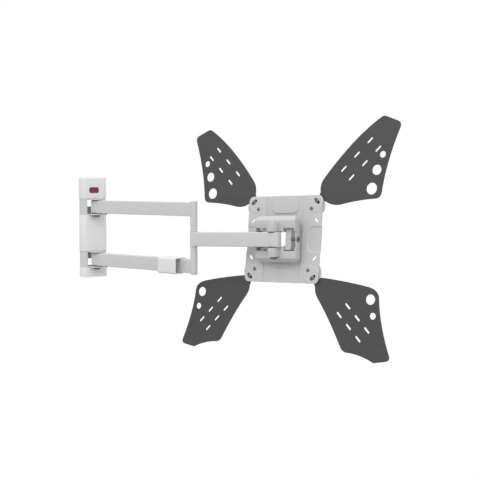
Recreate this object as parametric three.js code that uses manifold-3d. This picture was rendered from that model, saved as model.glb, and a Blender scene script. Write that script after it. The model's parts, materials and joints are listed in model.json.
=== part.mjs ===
// Full-motion television wall mount: wall bracket, twin-tube main arm, single-tube forearm,
// panning and tilting head, levelling plate and four swivelling screen adapters.
// Millimetres, +Z up. The wall is the plane y = 0 and the room lies toward -Y.
// The origin is on the back of the wall plate, midway between the two arm tubes.

import * as THREE from 'three';
import { mergeVertices } from 'three/addons/utils/BufferGeometryUtils.js';
import Module from 'manifold-3d';

// ---------------------------------------------------------------- driving dimensions

// pose at rest, in degrees
const shoulderAngle = 21; // main arm, turned from straight out of the wall toward +X
const elbowAngle = 0; // forearm, from straight on
const panAngle = 90; // head, from facing straight out along the forearm
const tiltAngle = 9; // top of the screen leans toward the viewer
const forearmRise = 2; // forearm is set slightly uphill so that a loaded arm ends up level

// overall
const mainArmLength = 377; // shoulder axis to elbow axis
const forearmLength = 266; // elbow axis to pan axis
const tubeSpacing = 158; // centre to centre of the two main tubes
const headReach = 46; // pan axis to the back of the screen plate

// fits
const gap = 0.3; // between touching pieces
const over = 1; // cutting solids reach this far past what they cut
const slide = 0.3; // radial clearance of a pin in its bore

// tubes
const tubeHeight = 38.8;
const tubeWidth = 20;
const tubeWall = 2;
const tubeCorner = 2.5;
const tubeTail = 14; // end of a main tube past the shoulder axis
const forearmTail = 19; // end of the forearm past the pan axis
const tubeInnerCorner = 0.5;
const plugFlange = 2.5;
const plugDepth = 8;
const plugRelief = 2; // spigot stays this far clear of the bolt

// wall bracket
const bracketWidth = 81;
const bracketDepth = 33;
const bracketCorner = 15;
const bracketTop = 167;
const bracketBottom = -133;
const coverWall = 1.5;
const channelWall = 3;
const wallPlateThick = 3;
const wallPlateMargin = 4; // wall plate stays this far inside the bracket outline at each end
const wallHoleRadius = 4.2;
const wallHoleX = 22;
const wallHoleInset = 14; // from the ends of the wall plate
const windowHalfWidth = 25;
const wallWindowHeight = 20;
const wallWindowFarWidth = 46; // at its end away from the middle of the bracket
const wallWindowNearWidth = 34;
const badgeWidth = 30;
const badgeHeight = 15;
const badgeThick = 1.2;
const badgeZ = 129;
const badgeX = -4;
const badgeCorner = 3;
const wallPlateSide = 1; // wall plate inside the channel's width, at each side
const wallPlateCorner = 4;

// shoulder
const shoulderY = -43;
const earThick = 3;
const earRadius = 21;
const earRootDepth = 2; // ears reach this far behind the channel's front wall
const washerThick = 1;
const washerRadius = 15;
const pivotBoltRadius = 5;
const boltHeadRadius = 8;
const boltHeadHeight = 3;
const nutHeight = 6;
const nutAcross = 15; // across the flats
const boltHeadEdge = 1; // straight part of a domed head
const boltHeadCrown = 0.6;
const boltEnd = 1.5; // bolt end past its nut

// elbow
const barrelRadius = 10;
const elbowPinRadius = 6;
const capHeight = 4;
const bushInset = 0.3; // bushes stand this far inside the barrels
const collarRadius = 11;
const collarUp = 21; // collar top above the forearm centre
const collarDown = 22;
const forearmDrop = 3.5; // forearm centre at the elbow, below the middle of the arm
const barrelInner = 34; // inner ends of the two barrels, above and below the middle

// small stop pads screwed to the tubes beside the pivots
const padRadius = 4.5;
const padHeight = 2.4;
const padOffset = 38;

// cable clip on the lower tube
const clipWall = 3;
const clipLength = 66;
const clipFromElbow = 40;
const clipCornerRadius = 6;
const clipChannel = 19; // cable channel beside the tube
const clipInnerCorner = 3;
const clipHook = 8; // height of the hook below the tube's far side

// head yoke
const yokeWidth = 127;
const yokeHeight = 121;
const yokeBack = -9; // back wall, from the pan axis
const yokeFront = -29;
const yokeWall = 3;
const yokeCornerRadius = 12;
const yokeBevel = 11;
const yokeLugRadius = 14;
const yokeLugHeight = 24;
const yokeWindowStep = 5; // side cheeks set back behind the forearm
const tiltBoltRadius = 4;
const tiltBoltHead = 7;
const tiltHeadHeight = 3;
const tiltHeadChamfer = 1.5;
const tiltBoltEnd = 2; // bolt end past the carrier's ear
const yokeOpeningInner = 27; // side openings of the yoke, from its middle
const yokeOpeningHeight = 60;
const tiltY = -19.5; // tilt axis, from the pan axis

// tilt carrier
const carrierWidth = 100;
const carrierHeight = 92;
const carrierThick = 2.5;
const carrierEarX = 44.5;
const carrierEarThick = 3;
const carrierEarHalf = 28; // half height of an ear at its flange
const carrierEarRoot = 30; // half height of an ear where it leaves the carrier
const carrierFlange = 14; // flange of an ear, turned toward the middle
const carrierFlangeFront = 4.2; // from the tilt axis
const carrierFlangeThick = 2.5;
const carrierCorner = 8;
const plateLift = 3; // middle of the screen plate above the tilt axis
const levelRingOuter = 25;
const levelRingInner = 20;
const levelRingFlange = 4;
const levelRingLip = 2;

// screen plate
const plateWidth = 233;
const plateHeight = 230;
const plateThick = 2.5;
const plateCorner = 14;
const recessDepth = 3;
const recessHalfWidth = 60;
const recessSlope = 5;
const screenPitch = 100; // half of the 200 mm screw pattern
const sideSlotZ = 49.5;
const sideSlotLength = 14;
const sideSlotWidth = 6;

// swivel corners
const swivelX = 84.5;
const swivelZ = 80.5;
const swivelRange = 12; // degrees either way
const swivelSpare = 1; // degrees of slot left past the range
const swivelBoltRadius = 4;
const swivelHeadRadius = 5.4;
const rivetRadius = 3;
const rivetHeadRadius = 5;
const discRadius = 25;
const discX = 97;
const discZ = 86;
const discThick = 3.2;
const headHeight = 2.2;
const headChamfer = 1.2;
const headEdge = 0.8;

// adapters
const adapterThick = 3;
const adapterSlotLength = 20;
const adapterSlotWidth = 5.5;
const neckInset = 6; // neck of an adapter inside its swivel disc

// ---------------------------------------------------------------- materials

const metal = (name, color, roughness, metalness) =>
	new THREE.MeshStandardMaterial({ name, color, roughness, metalness });

const silverPaint = () => metal('silver_paint', 0xc8c8c8, 0.45, 0.35);
const plateSilver = () => metal('plate_silver', 0xbfbfbf, 0.45, 0.4);
const whitePlastic = () => metal('white_plastic', 0xe2e3e6, 0.5, 0);
const clipPlastic = () => metal('clip_plastic', 0xdedede, 0.5, 0);
const darkSteel = () => metal('dark_steel', 0x5a5c5e, 0.45, 0.7);
const charcoalPaint = () => metal('charcoal_paint', 0x555555, 0.6, 0.2);
const brightSteel = () => metal('bright_steel', 0xb8babd, 0.3, 0.9);
const blackPlastic = () => metal('black_plastic', 0x1c1c1e, 0.55, 0);
const redEnamel = () => metal('red_enamel', 0x7d2328, 0.35, 0);

// ---------------------------------------------------------------- solids

const wasm = await Module();
wasm.setup();

const radians = THREE.MathUtils.degToRad;

function toSolid(geometry) {
	const bare = geometry.clone();
	bare.deleteAttribute('normal');
	bare.deleteAttribute('uv');
	const merged = mergeVertices(bare, 1e-4);
	return new wasm.Manifold(new wasm.Mesh({
		numProp: 3,
		vertProperties: new Float32Array(merged.attributes.position.array),
		triVerts: new Uint32Array(merged.index.array),
	}));
}

function toGeometry(solid) {
	const mesh = solid.getMesh();
	const geometry = new THREE.BufferGeometry();
	geometry.setAttribute('position', new THREE.BufferAttribute(mesh.vertProperties, 3));
	geometry.setIndex(new THREE.BufferAttribute(mesh.triVerts, 1));
	geometry.computeVertexNormals();
	return geometry;
}

function combine(base, added, removed = []) {
	let solid = toSolid(base);
	for (const geometry of added) {
		solid = solid.add(toSolid(geometry));
	}
	for (const geometry of removed) {
		solid = solid.subtract(toSolid(geometry));
	}
	return toGeometry(solid);
}

function piece(name, geometry, material) {
	const mesh = new THREE.Mesh(geometry, material);
	mesh.name = name;
	return mesh;
}

// box from its low and high corners
function block(low, high) {
	const size = high.map((value, i) => value - low[i]);
	const geometry = new THREE.BoxGeometry(...size);
	geometry.translate(...low.map((value, i) => value + size[i] / 2));
	return geometry;
}

// vertical cylinder from bottom to top
function post(radius, bottom, top, x = 0, y = 0, sides = 24) {
	const geometry = new THREE.CylinderGeometry(radius, radius, top - bottom, sides);
	geometry.rotateX(Math.PI / 2);
	geometry.translate(x, y, (top + bottom) / 2);
	return geometry;
}

// cylinder along Y, from y = low to y = high
function peg(radius, low, high, x = 0, z = 0, sides = 16) {
	const geometry = new THREE.CylinderGeometry(radius, radius, high - low, sides);
	geometry.translate(x, (low + high) / 2, z);
	return geometry;
}

// cylinder along X
function axle(radius, low, high, y = 0, z = 0, sides = 16) {
	const geometry = new THREE.CylinderGeometry(radius, radius, high - low, sides);
	geometry.rotateZ(Math.PI / 2);
	geometry.translate((low + high) / 2, y, z);
	return geometry;
}

function ring(outer, inner, bottom, top, sides = 24) {
	const profile = [[inner, bottom], [outer, bottom], [outer, top], [inner, top], [inner, bottom]];
	const geometry = new THREE.LatheGeometry(profile.map(([r, z]) => new THREE.Vector2(r, z)), sides);
	geometry.rotateX(Math.PI / 2);
	return geometry;
}

// solid turned about the vertical axis, from [radius, z] pairs that start and end on the axis
function turned(profile, sides = 20) {
	const geometry = new THREE.LatheGeometry(profile.map(([r, z]) => new THREE.Vector2(r, z)), sides);
	geometry.rotateX(Math.PI / 2);
	return geometry;
}

// outline in X and Y, extruded upward from bottom to top
function prismUp(shape, bottom, top, curveSegments = 4) {
	const geometry = new THREE.ExtrudeGeometry(shape, {
		depth: top - bottom, bevelEnabled: false, curveSegments,
	});
	geometry.translate(0, 0, bottom);
	return geometry;
}

// outline in X and Z, occupying y from front to back
function prismThrough(shape, front, back, curveSegments = 4) {
	const geometry = new THREE.ExtrudeGeometry(shape, {
		depth: back - front, bevelEnabled: false, curveSegments,
	});
	geometry.rotateX(Math.PI / 2);
	geometry.translate(0, back, 0);
	return geometry;
}

// outline in Y and Z, extruded along X from left to right
function prismAcross(shape, left, right, curveSegments = 4) {
	const geometry = new THREE.ExtrudeGeometry(shape, {
		depth: right - left, bevelEnabled: false, curveSegments,
	});
	geometry.rotateX(Math.PI / 2);
	geometry.rotateZ(Math.PI / 2);
	geometry.translate(left, 0, 0);
	return geometry;
}

function roundedRect(width, height, radius, x = 0, y = 0) {
	const shape = new THREE.Shape();
	const right = x + width / 2;
	const left = x - width / 2;
	const top = y + height / 2;
	const bottom = y - height / 2;
	shape.moveTo(left + radius, bottom);
	shape.lineTo(right - radius, bottom);
	shape.absarc(right - radius, bottom + radius, radius, -Math.PI / 2, 0, false);
	shape.lineTo(right, top - radius);
	shape.absarc(right - radius, top - radius, radius, 0, Math.PI / 2, false);
	shape.lineTo(left + radius, top);
	shape.absarc(left + radius, top - radius, radius, Math.PI / 2, Math.PI, false);
	shape.lineTo(left, bottom + radius);
	shape.absarc(left + radius, bottom + radius, radius, Math.PI, Math.PI * 1.5, false);
	return shape;
}

function circlePath(radius, x, y) {
	const path = new THREE.Path();
	path.absarc(x, y, radius, 0, Math.PI, false);
	path.absarc(x, y, radius, Math.PI, Math.PI * 2, false);
	return path;
}

// straight slot with round ends, centred on (x, y), its length along the given direction
function slotPath(length, width, x, y, direction, kind = THREE.Path) {
	const path = new kind();
	const radius = width / 2;
	const half = length / 2 - radius;
	const dx = Math.cos(direction);
	const dy = Math.sin(direction);
	path.absarc(x + dx * half, y + dy * half, radius, direction - Math.PI / 2, direction + Math.PI / 2, false);
	path.absarc(x - dx * half, y - dy * half, radius, direction + Math.PI / 2, direction + Math.PI * 1.5, false);
	return path;
}

// slot that follows an arc about (x, y): for a bolt that swings with what it clamps
function arcSlotShape(x, y, reach, middle, halfAngle, radius) {
	const shape = new THREE.Shape();
	const from = middle - halfAngle;
	const to = middle + halfAngle;
	const endX = angle => x + reach * Math.cos(angle);
	const endY = angle => y + reach * Math.sin(angle);
	shape.absarc(x, y, reach + radius, from, to, false);
	shape.absarc(endX(to), endY(to), radius, to, to + Math.PI, false);
	shape.absarc(x, y, reach - radius, to, from, true);
	shape.absarc(endX(from), endY(from), radius, from + Math.PI, from + Math.PI * 2, false);
	return shape;
}

// ---------------------------------------------------------------- derived places

const tubeZ = tubeSpacing / 2;
const tubeHalf = tubeHeight / 2;
const washerBottom = tubeHalf + gap;
const earBottom = washerBottom + washerThick + gap;
const earTop = earBottom + earThick;
const coverEdge = earTop + gap;
const channelDepth = bracketDepth - coverWall - gap;
const channelWidth = bracketWidth - 2 * (coverWall + gap);
const pivotBore = pivotBoltRadius + slide;
const barrelTop = tubeZ + tubeHalf;
const tubeEnd = tail => tail - plugFlange - gap;

// ---------------------------------------------------------------- wall bracket

// C section, open toward the wall: outer size, wall thickness and outer corner radius
function channelSection(width, depth, wall, radius, openEdge) {
	const shape = new THREE.Shape();
	const outer = width / 2;
	const inner = outer - wall;
	const innerRadius = radius - wall;
	shape.moveTo(-outer, openEdge);
	shape.lineTo(-outer, -depth + radius);
	shape.absarc(-outer + radius, -depth + radius, radius, Math.PI, Math.PI * 1.5, false);
	shape.lineTo(outer - radius, -depth);
	shape.absarc(outer - radius, -depth + radius, radius, -Math.PI / 2, 0, false);
	shape.lineTo(outer, openEdge);
	shape.lineTo(inner, openEdge);
	shape.lineTo(inner, -depth + radius);
	shape.absarc(outer - radius, -depth + radius, innerRadius, 0, -Math.PI / 2, true);
	shape.lineTo(-outer + radius, -depth + wall);
	shape.absarc(-outer + radius, -depth + radius, innerRadius, -Math.PI / 2, -Math.PI, true);
	shape.lineTo(-inner, openEdge);
	shape.closePath();
	return shape;
}

// solid outline of the bracket: the outside of its C section, closed along the wall
function bracketOutline(width, depth, radius, openEdge) {
	const shape = new THREE.Shape();
	const outer = width / 2;
	shape.moveTo(-outer, openEdge);
	shape.lineTo(-outer, -depth + radius);
	shape.absarc(-outer + radius, -depth + radius, radius, Math.PI, Math.PI * 1.5, false);
	shape.lineTo(outer - radius, -depth);
	shape.absarc(outer - radius, -depth + radius, radius, -Math.PI / 2, 0, false);
	shape.lineTo(outer, openEdge);
	shape.closePath();
	return shape;
}

const coverOpenEdge = -wallPlateThick - gap;
const coverSection = () =>
	channelSection(bracketWidth, bracketDepth, coverWall, bracketCorner, coverOpenEdge);

// cover with an end cap: closed above when capZ is its top, below when it is its bottom
function endCover(bottom, top, capAtTop) {
	const outline = bracketOutline(bracketWidth, bracketDepth, bracketCorner, coverOpenEdge);
	const capBottom = capAtTop ? top - coverWall : bottom;
	return combine(prismUp(coverSection(), bottom, top), [
		prismUp(outline, capBottom, capBottom + coverWall),
	]);
}

// flat lug that carries one end of a shoulder bolt, from inside the channel to its round nose
function earShape() {
	const shape = new THREE.Shape();
	const root = -channelDepth + channelWall + earRootDepth;
	shape.moveTo(-earRadius, root);
	shape.lineTo(-earRadius, shoulderY);
	shape.absarc(0, shoulderY, earRadius, Math.PI, Math.PI * 2, false);
	shape.lineTo(earRadius, root);
	shape.closePath();
	return shape;
}

// height bands of the four ears, as [bottom, top]
const earBands = [tubeZ, -tubeZ].flatMap(middle => [
	[middle + earBottom, middle + earTop],
	[middle - earTop, middle - earBottom],
]);

function wallPlate() {
	const bottom = bracketBottom + wallPlateMargin;
	const top = bracketTop - wallPlateMargin;
	const width = channelWidth - 2 * wallPlateSide;
	const shape = roundedRect(width, top - bottom, wallPlateCorner, 0, (top + bottom) / 2);
	for (const side of [1, -1]) {
		const near = side * tubeZ;
		const far = near + side * wallWindowHeight;
		const window = new THREE.Path();
		window.moveTo(-side * wallWindowNearWidth / 2, near);
		window.lineTo(side * wallWindowNearWidth / 2, near);
		window.lineTo(side * wallWindowFarWidth / 2, far);
		window.lineTo(-side * wallWindowFarWidth / 2, far);
		window.closePath();
		shape.holes.push(window);
	}
	for (const z of [bottom + wallHoleInset, top - wallHoleInset]) {
		for (const x of [-wallHoleX, wallHoleX]) {
			shape.holes.push(circlePath(wallHoleRadius, x, z));
		}
	}
	return prismThrough(shape, -wallPlateThick, 0);
}

function channelBracket() {
	const bottom = bracketBottom + coverWall + gap;
	const top = bracketTop - coverWall - gap;
	const section = channelSection(
		channelWidth, channelDepth, channelWall, bracketCorner - coverWall - gap, coverOpenEdge,
	);
	const cuts = [tubeZ, -tubeZ].map(middle => block(
		[-windowHalfWidth, -channelDepth - over, middle - earBottom],
		[windowHalfWidth, -channelDepth + 2 * channelWall, middle + earBottom],
	));
	const ears = earBands.map(([low, high]) => prismUp(earShape(), low, high, 6));
	const bores = [tubeZ, -tubeZ].map(middle => post(
		pivotBore, middle - earTop - over, middle + earTop + over, 0, shoulderY, 20,
	));
	return combine(prismUp(section, bottom, top), ears, [...cuts, ...bores]);
}

function wallBracket() {
	const group = new THREE.Group();
	const middleEdge = tubeZ - coverEdge;
	const badgeShape = roundedRect(badgeWidth, badgeHeight, badgeCorner, badgeX, badgeZ);
	const badgeBack = -bracketDepth - gap;
	group.add(piece('wall_plate', wallPlate(), silverPaint()));
	group.add(piece('channel_bracket', channelBracket(), silverPaint()));
	group.add(piece('cover_top', endCover(tubeZ + coverEdge, bracketTop, true), whitePlastic()));
	group.add(piece('cover_middle', prismUp(coverSection(), -middleEdge, middleEdge), whitePlastic()));
	group.add(piece('cover_bottom', endCover(bracketBottom, -tubeZ - coverEdge, false), whitePlastic()));
	group.add(piece(
		'badge_inlay', prismThrough(badgeShape, badgeBack - badgeThick, badgeBack, 4), redEnamel(),
	));
	return group;
}

// ---------------------------------------------------------------- pivots

// bolt standing on the axis: low domed head on top, shank down to the end of its nut
function pivotBolt(headUnder, shankEnd) {
	const top = headUnder + boltHeadHeight;
	return turned([
		[0, shankEnd], [pivotBoltRadius, shankEnd], [pivotBoltRadius, headUnder],
		[boltHeadRadius, headUnder], [boltHeadRadius, headUnder + boltHeadEdge],
		[boltHeadRadius * 0.75, top - boltHeadCrown], [0, top],
	]);
}

function nut(bottom) {
	const radius = nutAcross / 2 / Math.cos(Math.PI / 6);
	return combine(post(radius, bottom, bottom + nutHeight, 0, 0, 6), [], [
		post(pivotBore, bottom - over, bottom + nutHeight + over, 0, 0, 20),
	]);
}

function washer(bottom) {
	return ring(washerRadius, pivotBore, bottom, bottom + washerThick);
}

// ---------------------------------------------------------------- arms

// rectangular tube along Y between two places, with bores for upright bolts and other cuts
function armTube(start, end, boreAt, cuts = []) {
	const length = start - end;
	const section = roundedRect(tubeWidth, tubeHeight, tubeCorner);
	const inside = roundedRect(
		tubeWidth - 2 * tubeWall, tubeHeight - 2 * tubeWall, tubeInnerCorner,
	);
	const bores = boreAt.map(y => post(pivotBore, -tubeHalf - over, tubeHalf + over, 0, y, 20));
	return combine(prismThrough(section, start - length, start, 2), [], [
		prismThrough(inside, start - length - over, start + over, 1), ...bores, ...cuts,
	]);
}

// plastic plug that closes a tube end: a flange outside, a spigot inside
function tubePlug(tail, side) {
	const flange = roundedRect(tubeWidth, tubeHeight, tubeCorner);
	const inner = 2 * (tubeWall + gap);
	const spigot = roundedRect(tubeWidth - inner, tubeHeight - inner, tubeInnerCorner);
	const face = tubeEnd(tail) + gap;
	const geometry = combine(prismThrough(flange, face, face + plugFlange, 2), [
		prismThrough(spigot, face - (plugDepth - plugFlange), face + gap, 1),
	], [
		post(pivotBoltRadius + plugRelief, -tubeHalf, tubeHalf, 0, 0, 16),
	]);
	if (side < 0) {
		geometry.rotateZ(Math.PI);
	}
	return geometry;
}

function stopPad(faceZ, y, up) {
	const near = faceZ + up * gap;
	const far = near + up * padHeight;
	return post(padRadius, Math.min(near, far), Math.max(near, far), 0, y, 16);
}

// C-shaped sleeve that snaps around the lower tube and holds a cable beside it
function cableClip() {
	const section = new THREE.Shape();
	const halfWidth = tubeWidth / 2 + gap + clipWall;
	const halfHeight = tubeHalf + gap + clipWall;
	const outer = roundedRect(
		2 * halfWidth + clipChannel, 2 * halfHeight, clipCornerRadius, -clipChannel / 2, 0,
	);
	const start = -mainArmLength + clipFromElbow + clipLength;
	const end = start - clipLength;
	const tubeRoom = block(
		[-tubeWidth / 2 - gap, end - over, -tubeHalf - gap],
		[tubeWidth / 2 + gap, start + over, tubeHalf + gap],
	);
	const cableRoom = roundedRect(
		clipChannel + over, 2 * (halfHeight - clipWall), clipInnerCorner,
		-tubeWidth / 2 - gap - clipChannel / 2, 0,
	);
	const mouth = block(
		[0, end - over, -halfHeight - over], [tubeWidth, start + over, -tubeHalf + clipHook],
	);
	return combine(prismThrough(outer, end, start, 4), [], [
		tubeRoom, prismThrough(cableRoom, end - over, start + over, 4), mouth,
	]);
}

function addPivot(group, name, z) {
	const washerUpper = z + washerBottom;
	const washerLower = z - washerBottom - washerThick;
	const headUnder = z + earTop + gap;
	const nutBottom = z - earTop - gap - nutHeight;
	group.add(piece(`${name}_bolt`, pivotBolt(headUnder, nutBottom - boltEnd), brightSteel()));
	group.add(piece(`${name}_nut`, nut(nutBottom), darkSteel()));
	group.add(piece(`${name}_washer_top`, washer(washerUpper), blackPlastic()));
	group.add(piece(`${name}_washer_bottom`, washer(washerLower), blackPlastic()));
}

function mainArm() {
	const group = new THREE.Group();
	group.position.set(0, shoulderY, 0);
	group.rotation.z = radians(shoulderAngle);

	const elbowCut = post(barrelRadius + gap, -tubeHeight, tubeHeight, 0, -mainArmLength, 24);
	for (const [name, z] of [['upper', tubeZ], ['lower', -tubeZ]]) {
		const tube = piece(
			`${name}_tube`, armTube(tubeEnd(tubeTail), -mainArmLength, [0], [elbowCut]), silverPaint(),
		);
		tube.position.z = z;
		const plug = piece(`${name}_tube_plug`, tubePlug(tubeTail, 1), blackPlastic());
		plug.position.z = z;
		group.add(tube, plug);
		group.add(piece(`${name}_stop_pad`, stopPad(z - tubeHalf, -padOffset, -1), blackPlastic()));
		addPivot(group, `shoulder_${name}`, z);
	}
	const clip = piece('cable_clip', cableClip(), clipPlastic());
	clip.position.z = -tubeZ;
	group.add(clip);

	const elbow = new THREE.Group();
	elbow.position.set(0, -mainArmLength, 0);
	const bore = elbowPinRadius + slide;
	elbow.add(piece('elbow_barrel_upper', ring(barrelRadius, bore, barrelInner, barrelTop), silverPaint()));
	elbow.add(piece('elbow_barrel_lower', ring(barrelRadius, bore, -barrelTop, -barrelInner), silverPaint()));
	elbow.add(piece('elbow_pin', post(elbowPinRadius, -barrelTop, barrelTop), brightSteel()));
	const capNear = barrelTop + gap;
	const capFar = capNear + capHeight;
	elbow.add(piece('elbow_cap_top', post(barrelRadius, capNear, capFar), blackPlastic()));
	elbow.add(piece('elbow_cap_bottom', post(barrelRadius, -capFar, -capNear), blackPlastic()));
	const collarTop = collarUp - forearmDrop;
	const collarBottom = -collarDown - forearmDrop;
	const bush = (low, high) => ring(barrelRadius - bushInset, bore, low, high);
	const bushEnd = barrelInner - gap;
	elbow.add(piece('elbow_bush_upper', bush(collarTop + gap, bushEnd), silverPaint()));
	elbow.add(piece('elbow_bush_lower', bush(-bushEnd, collarBottom - gap), silverPaint()));
	group.add(elbow);

	elbow.add(forearm(bore, collarBottom, collarTop));
	return group;
}

function forearm(bore, collarBottom, collarTop) {
	const swing = new THREE.Group();
	swing.rotation.z = radians(elbowAngle);
	swing.add(piece('forearm_collar', ring(collarRadius, bore, collarBottom, collarTop), silverPaint()));

	const rise = new THREE.Group();
	rise.position.z = -forearmDrop;
	rise.rotation.x = -radians(forearmRise);
	const lean = tubeHalf * Math.sin(radians(forearmRise));
	const collarCut = post(collarRadius + gap + lean, -tubeHeight, tubeHeight, 0, 0, 24);
	const farEnd = -forearmLength - tubeEnd(forearmTail);
	rise.add(piece('forearm_tube', armTube(0, farEnd, [-forearmLength], [collarCut]), silverPaint()));

	const plug = piece('forearm_plug', tubePlug(forearmTail, -1), clipPlastic());
	plug.position.y = -forearmLength;
	rise.add(plug);
	const padY = -forearmLength + padOffset;
	rise.add(piece('forearm_pad_top', stopPad(tubeHalf, padY, 1), blackPlastic()));
	rise.add(piece('forearm_pad_bottom', stopPad(-tubeHalf, padY, -1), blackPlastic()));
	rise.add(head());
	swing.add(rise);
	return swing;
}

// ---------------------------------------------------------------- head

// upper or lower half of the yoke shell: back wall, bevelled shoulder and outer wall, bent from sheet
function yokeBand() {
	const shape = new THREE.Shape();
	const edge = yokeHeight / 2;
	const inner = edge - yokeWall;
	const lugFace = earBottom;
	shape.moveTo(yokeBack, lugFace);
	shape.lineTo(yokeBack, edge - yokeBevel);
	shape.lineTo(yokeBack - yokeBevel, edge);
	shape.lineTo(yokeFront, edge);
	shape.lineTo(yokeFront, inner);
	shape.lineTo(yokeBack - yokeBevel - 1, inner);
	shape.lineTo(yokeBack - yokeWall, edge - yokeBevel - 1);
	shape.lineTo(yokeBack - yokeWall, lugFace + yokeWall);
	shape.lineTo(yokeFront, lugFace + yokeWall);
	shape.lineTo(yokeFront, lugFace);
	shape.closePath();
	return prismAcross(shape, -yokeWidth / 2, yokeWidth / 2);
}

function yokeCheek(side) {
	const outer = side * yokeWidth / 2;
	const inner = outer - side * yokeWall;
	return block(
		[Math.min(outer, inner), yokeFront, -yokeHeight / 2 + 1],
		[Math.max(outer, inner), yokeBack - yokeWindowStep, yokeHeight / 2 - 1],
	);
}

// end plate that closes a band at one side
function bandEnd(side) {
	const outer = side * yokeWidth / 2;
	const inner = outer - side * yokeWall;
	return block(
		[Math.min(outer, inner), yokeFront, earBottom],
		[Math.max(outer, inner), yokeBack, yokeHeight / 2],
	);
}

function yokeLug() {
	const top = earBottom + yokeLugHeight;
	return [
		post(yokeLugRadius, earBottom, top),
		block([-yokeLugRadius, yokeBack - yokeWall, earBottom], [yokeLugRadius, 0, top]),
	];
}

function headYoke() {
	const upper = [yokeBand(), bandEnd(1), bandEnd(-1), ...yokeLug()];
	const lower = upper.map(geometry => geometry.clone().rotateY(Math.PI));
	const [first, ...rest] = [...upper, ...lower, yokeCheek(1), yokeCheek(-1)];
	const tiltBore = tiltBoltRadius + slide;
	const openingOuter = yokeWidth / 2 - yokeWall;
	const openings = [[-openingOuter, -yokeOpeningInner], [yokeOpeningInner, openingOuter]];
	const joined = toSolid(combine(first, rest, [
		post(pivotBore, -yokeHeight, yokeHeight, 0, 0, 20),
		axle(tiltBore, -yokeWidth, yokeWidth, tiltY),
		...openings.map(([left, right]) => block(
			[left, yokeFront - over, -yokeOpeningHeight / 2],
			[right, yokeBack + over, yokeOpeningHeight / 2],
		)),
	]));
	const corners = prismThrough(
		roundedRect(yokeWidth, yokeHeight, yokeCornerRadius), yokeFront - over, yokeLugRadius + over,
	);
	const bevel = new THREE.Shape();
	const edge = yokeHeight / 2;
	bevel.moveTo(yokeFront - over, -edge - over);
	bevel.lineTo(yokeBack - yokeBevel, -edge - over);
	bevel.lineTo(yokeBack - yokeBevel, -edge);
	bevel.lineTo(yokeBack, -edge + yokeBevel);
	bevel.lineTo(yokeLugRadius + over, -edge + yokeBevel);
	bevel.lineTo(yokeLugRadius + over, edge - yokeBevel);
	bevel.lineTo(yokeBack, edge - yokeBevel);
	bevel.lineTo(yokeBack - yokeBevel, edge);
	bevel.lineTo(yokeBack - yokeBevel, edge + over);
	bevel.lineTo(yokeFront - over, edge + over);
	bevel.closePath();
	const envelope = toSolid(prismAcross(bevel, -yokeWidth, yokeWidth));
	return toGeometry(joined.intersect(toSolid(corners)).intersect(envelope));
}

// bolt along X at one side of the yoke: head outside the cheek, end past the carrier's ear
function tiltBolt(side) {
	const headFrom = yokeWidth / 2 + gap;
	const headEnd = headFrom + tiltHeadHeight;
	const end = carrierEarX - carrierEarThick / 2 - tiltBoltEnd;
	const profile = [
		[0, end], [tiltBoltRadius, end], [tiltBoltRadius, headFrom], [tiltBoltHead, headFrom],
		[tiltBoltHead, headEnd - tiltHeadChamfer], [tiltBoltHead - tiltHeadChamfer, headEnd],
		[0, headEnd],
	];
	const geometry = turned(profile, 16);
	geometry.rotateY(side * Math.PI / 2);
	geometry.translate(0, tiltY, 0);
	return geometry;
}

function head() {
	const group = new THREE.Group();
	group.position.y = -forearmLength;
	group.rotation.z = radians(panAngle);
	const lugTop = earBottom + yokeLugHeight;
	group.add(piece('head_yoke', headYoke(), plateSilver()));
	group.add(piece('pan_bolt', pivotBolt(lugTop + gap, -lugTop - gap - nutHeight - boltEnd), brightSteel()));
	group.add(piece('pan_nut', nut(-lugTop - gap - nutHeight), darkSteel()));
	const washerTop = washerBottom + washerThick;
	const panWasher = (low, high) => ring(yokeLugRadius, pivotBore, low, high);
	group.add(piece('pan_washer_top', panWasher(washerBottom, washerTop), blackPlastic()));
	group.add(piece('pan_washer_bottom', panWasher(-washerTop, -washerBottom), blackPlastic()));
	group.add(piece('tilt_bolt_right', tiltBolt(1), brightSteel()));
	group.add(piece('tilt_bolt_left', tiltBolt(-1), brightSteel()));
	group.add(tiltingHead());
	return group;
}

// everything from here on is placed from the tilt axis; the back of the screen plate is plateBack
const plateBack = -headReach - tiltY;
const recessBack = plateBack - recessDepth;
const carrierBack = recessBack + gap + carrierThick;

function carrier() {
	const base = roundedRect(carrierWidth, carrierHeight, carrierCorner, 0, plateLift);
	base.holes.push(circlePath(levelRingOuter + slide, 0, plateLift));
	const ear = new THREE.Shape();
	ear.moveTo(carrierBack - carrierThick, -carrierEarRoot);
	ear.lineTo(0, -carrierEarHalf);
	ear.lineTo(carrierFlangeFront, -carrierEarHalf);
	ear.lineTo(carrierFlangeFront, carrierEarHalf);
	ear.lineTo(0, carrierEarHalf);
	ear.lineTo(carrierBack - carrierThick, carrierEarRoot);
	ear.closePath();
	const outer = carrierEarX + carrierEarThick / 2;
	const inner = outer - carrierEarThick;
	const flangeInner = inner - carrierFlange;
	const flangeBack = carrierFlangeFront - carrierFlangeThick;
	const added = [
		prismAcross(ear, inner, outer), prismAcross(ear, -outer, -inner),
		block([flangeInner, flangeBack, -carrierEarHalf], [outer, carrierFlangeFront, carrierEarHalf]),
		block([-outer, flangeBack, -carrierEarHalf], [-flangeInner, carrierFlangeFront, carrierEarHalf]),
	];
	const boreInner = inner - tiltBoltEnd - gap;
	const bores = [
		axle(tiltBoltRadius + slide, boreInner, outer + over),
		axle(tiltBoltRadius + slide, -outer - over, -boreInner),
	];
	return combine(prismThrough(base, carrierBack - carrierThick, carrierBack, 6), added, bores);
}

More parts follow.
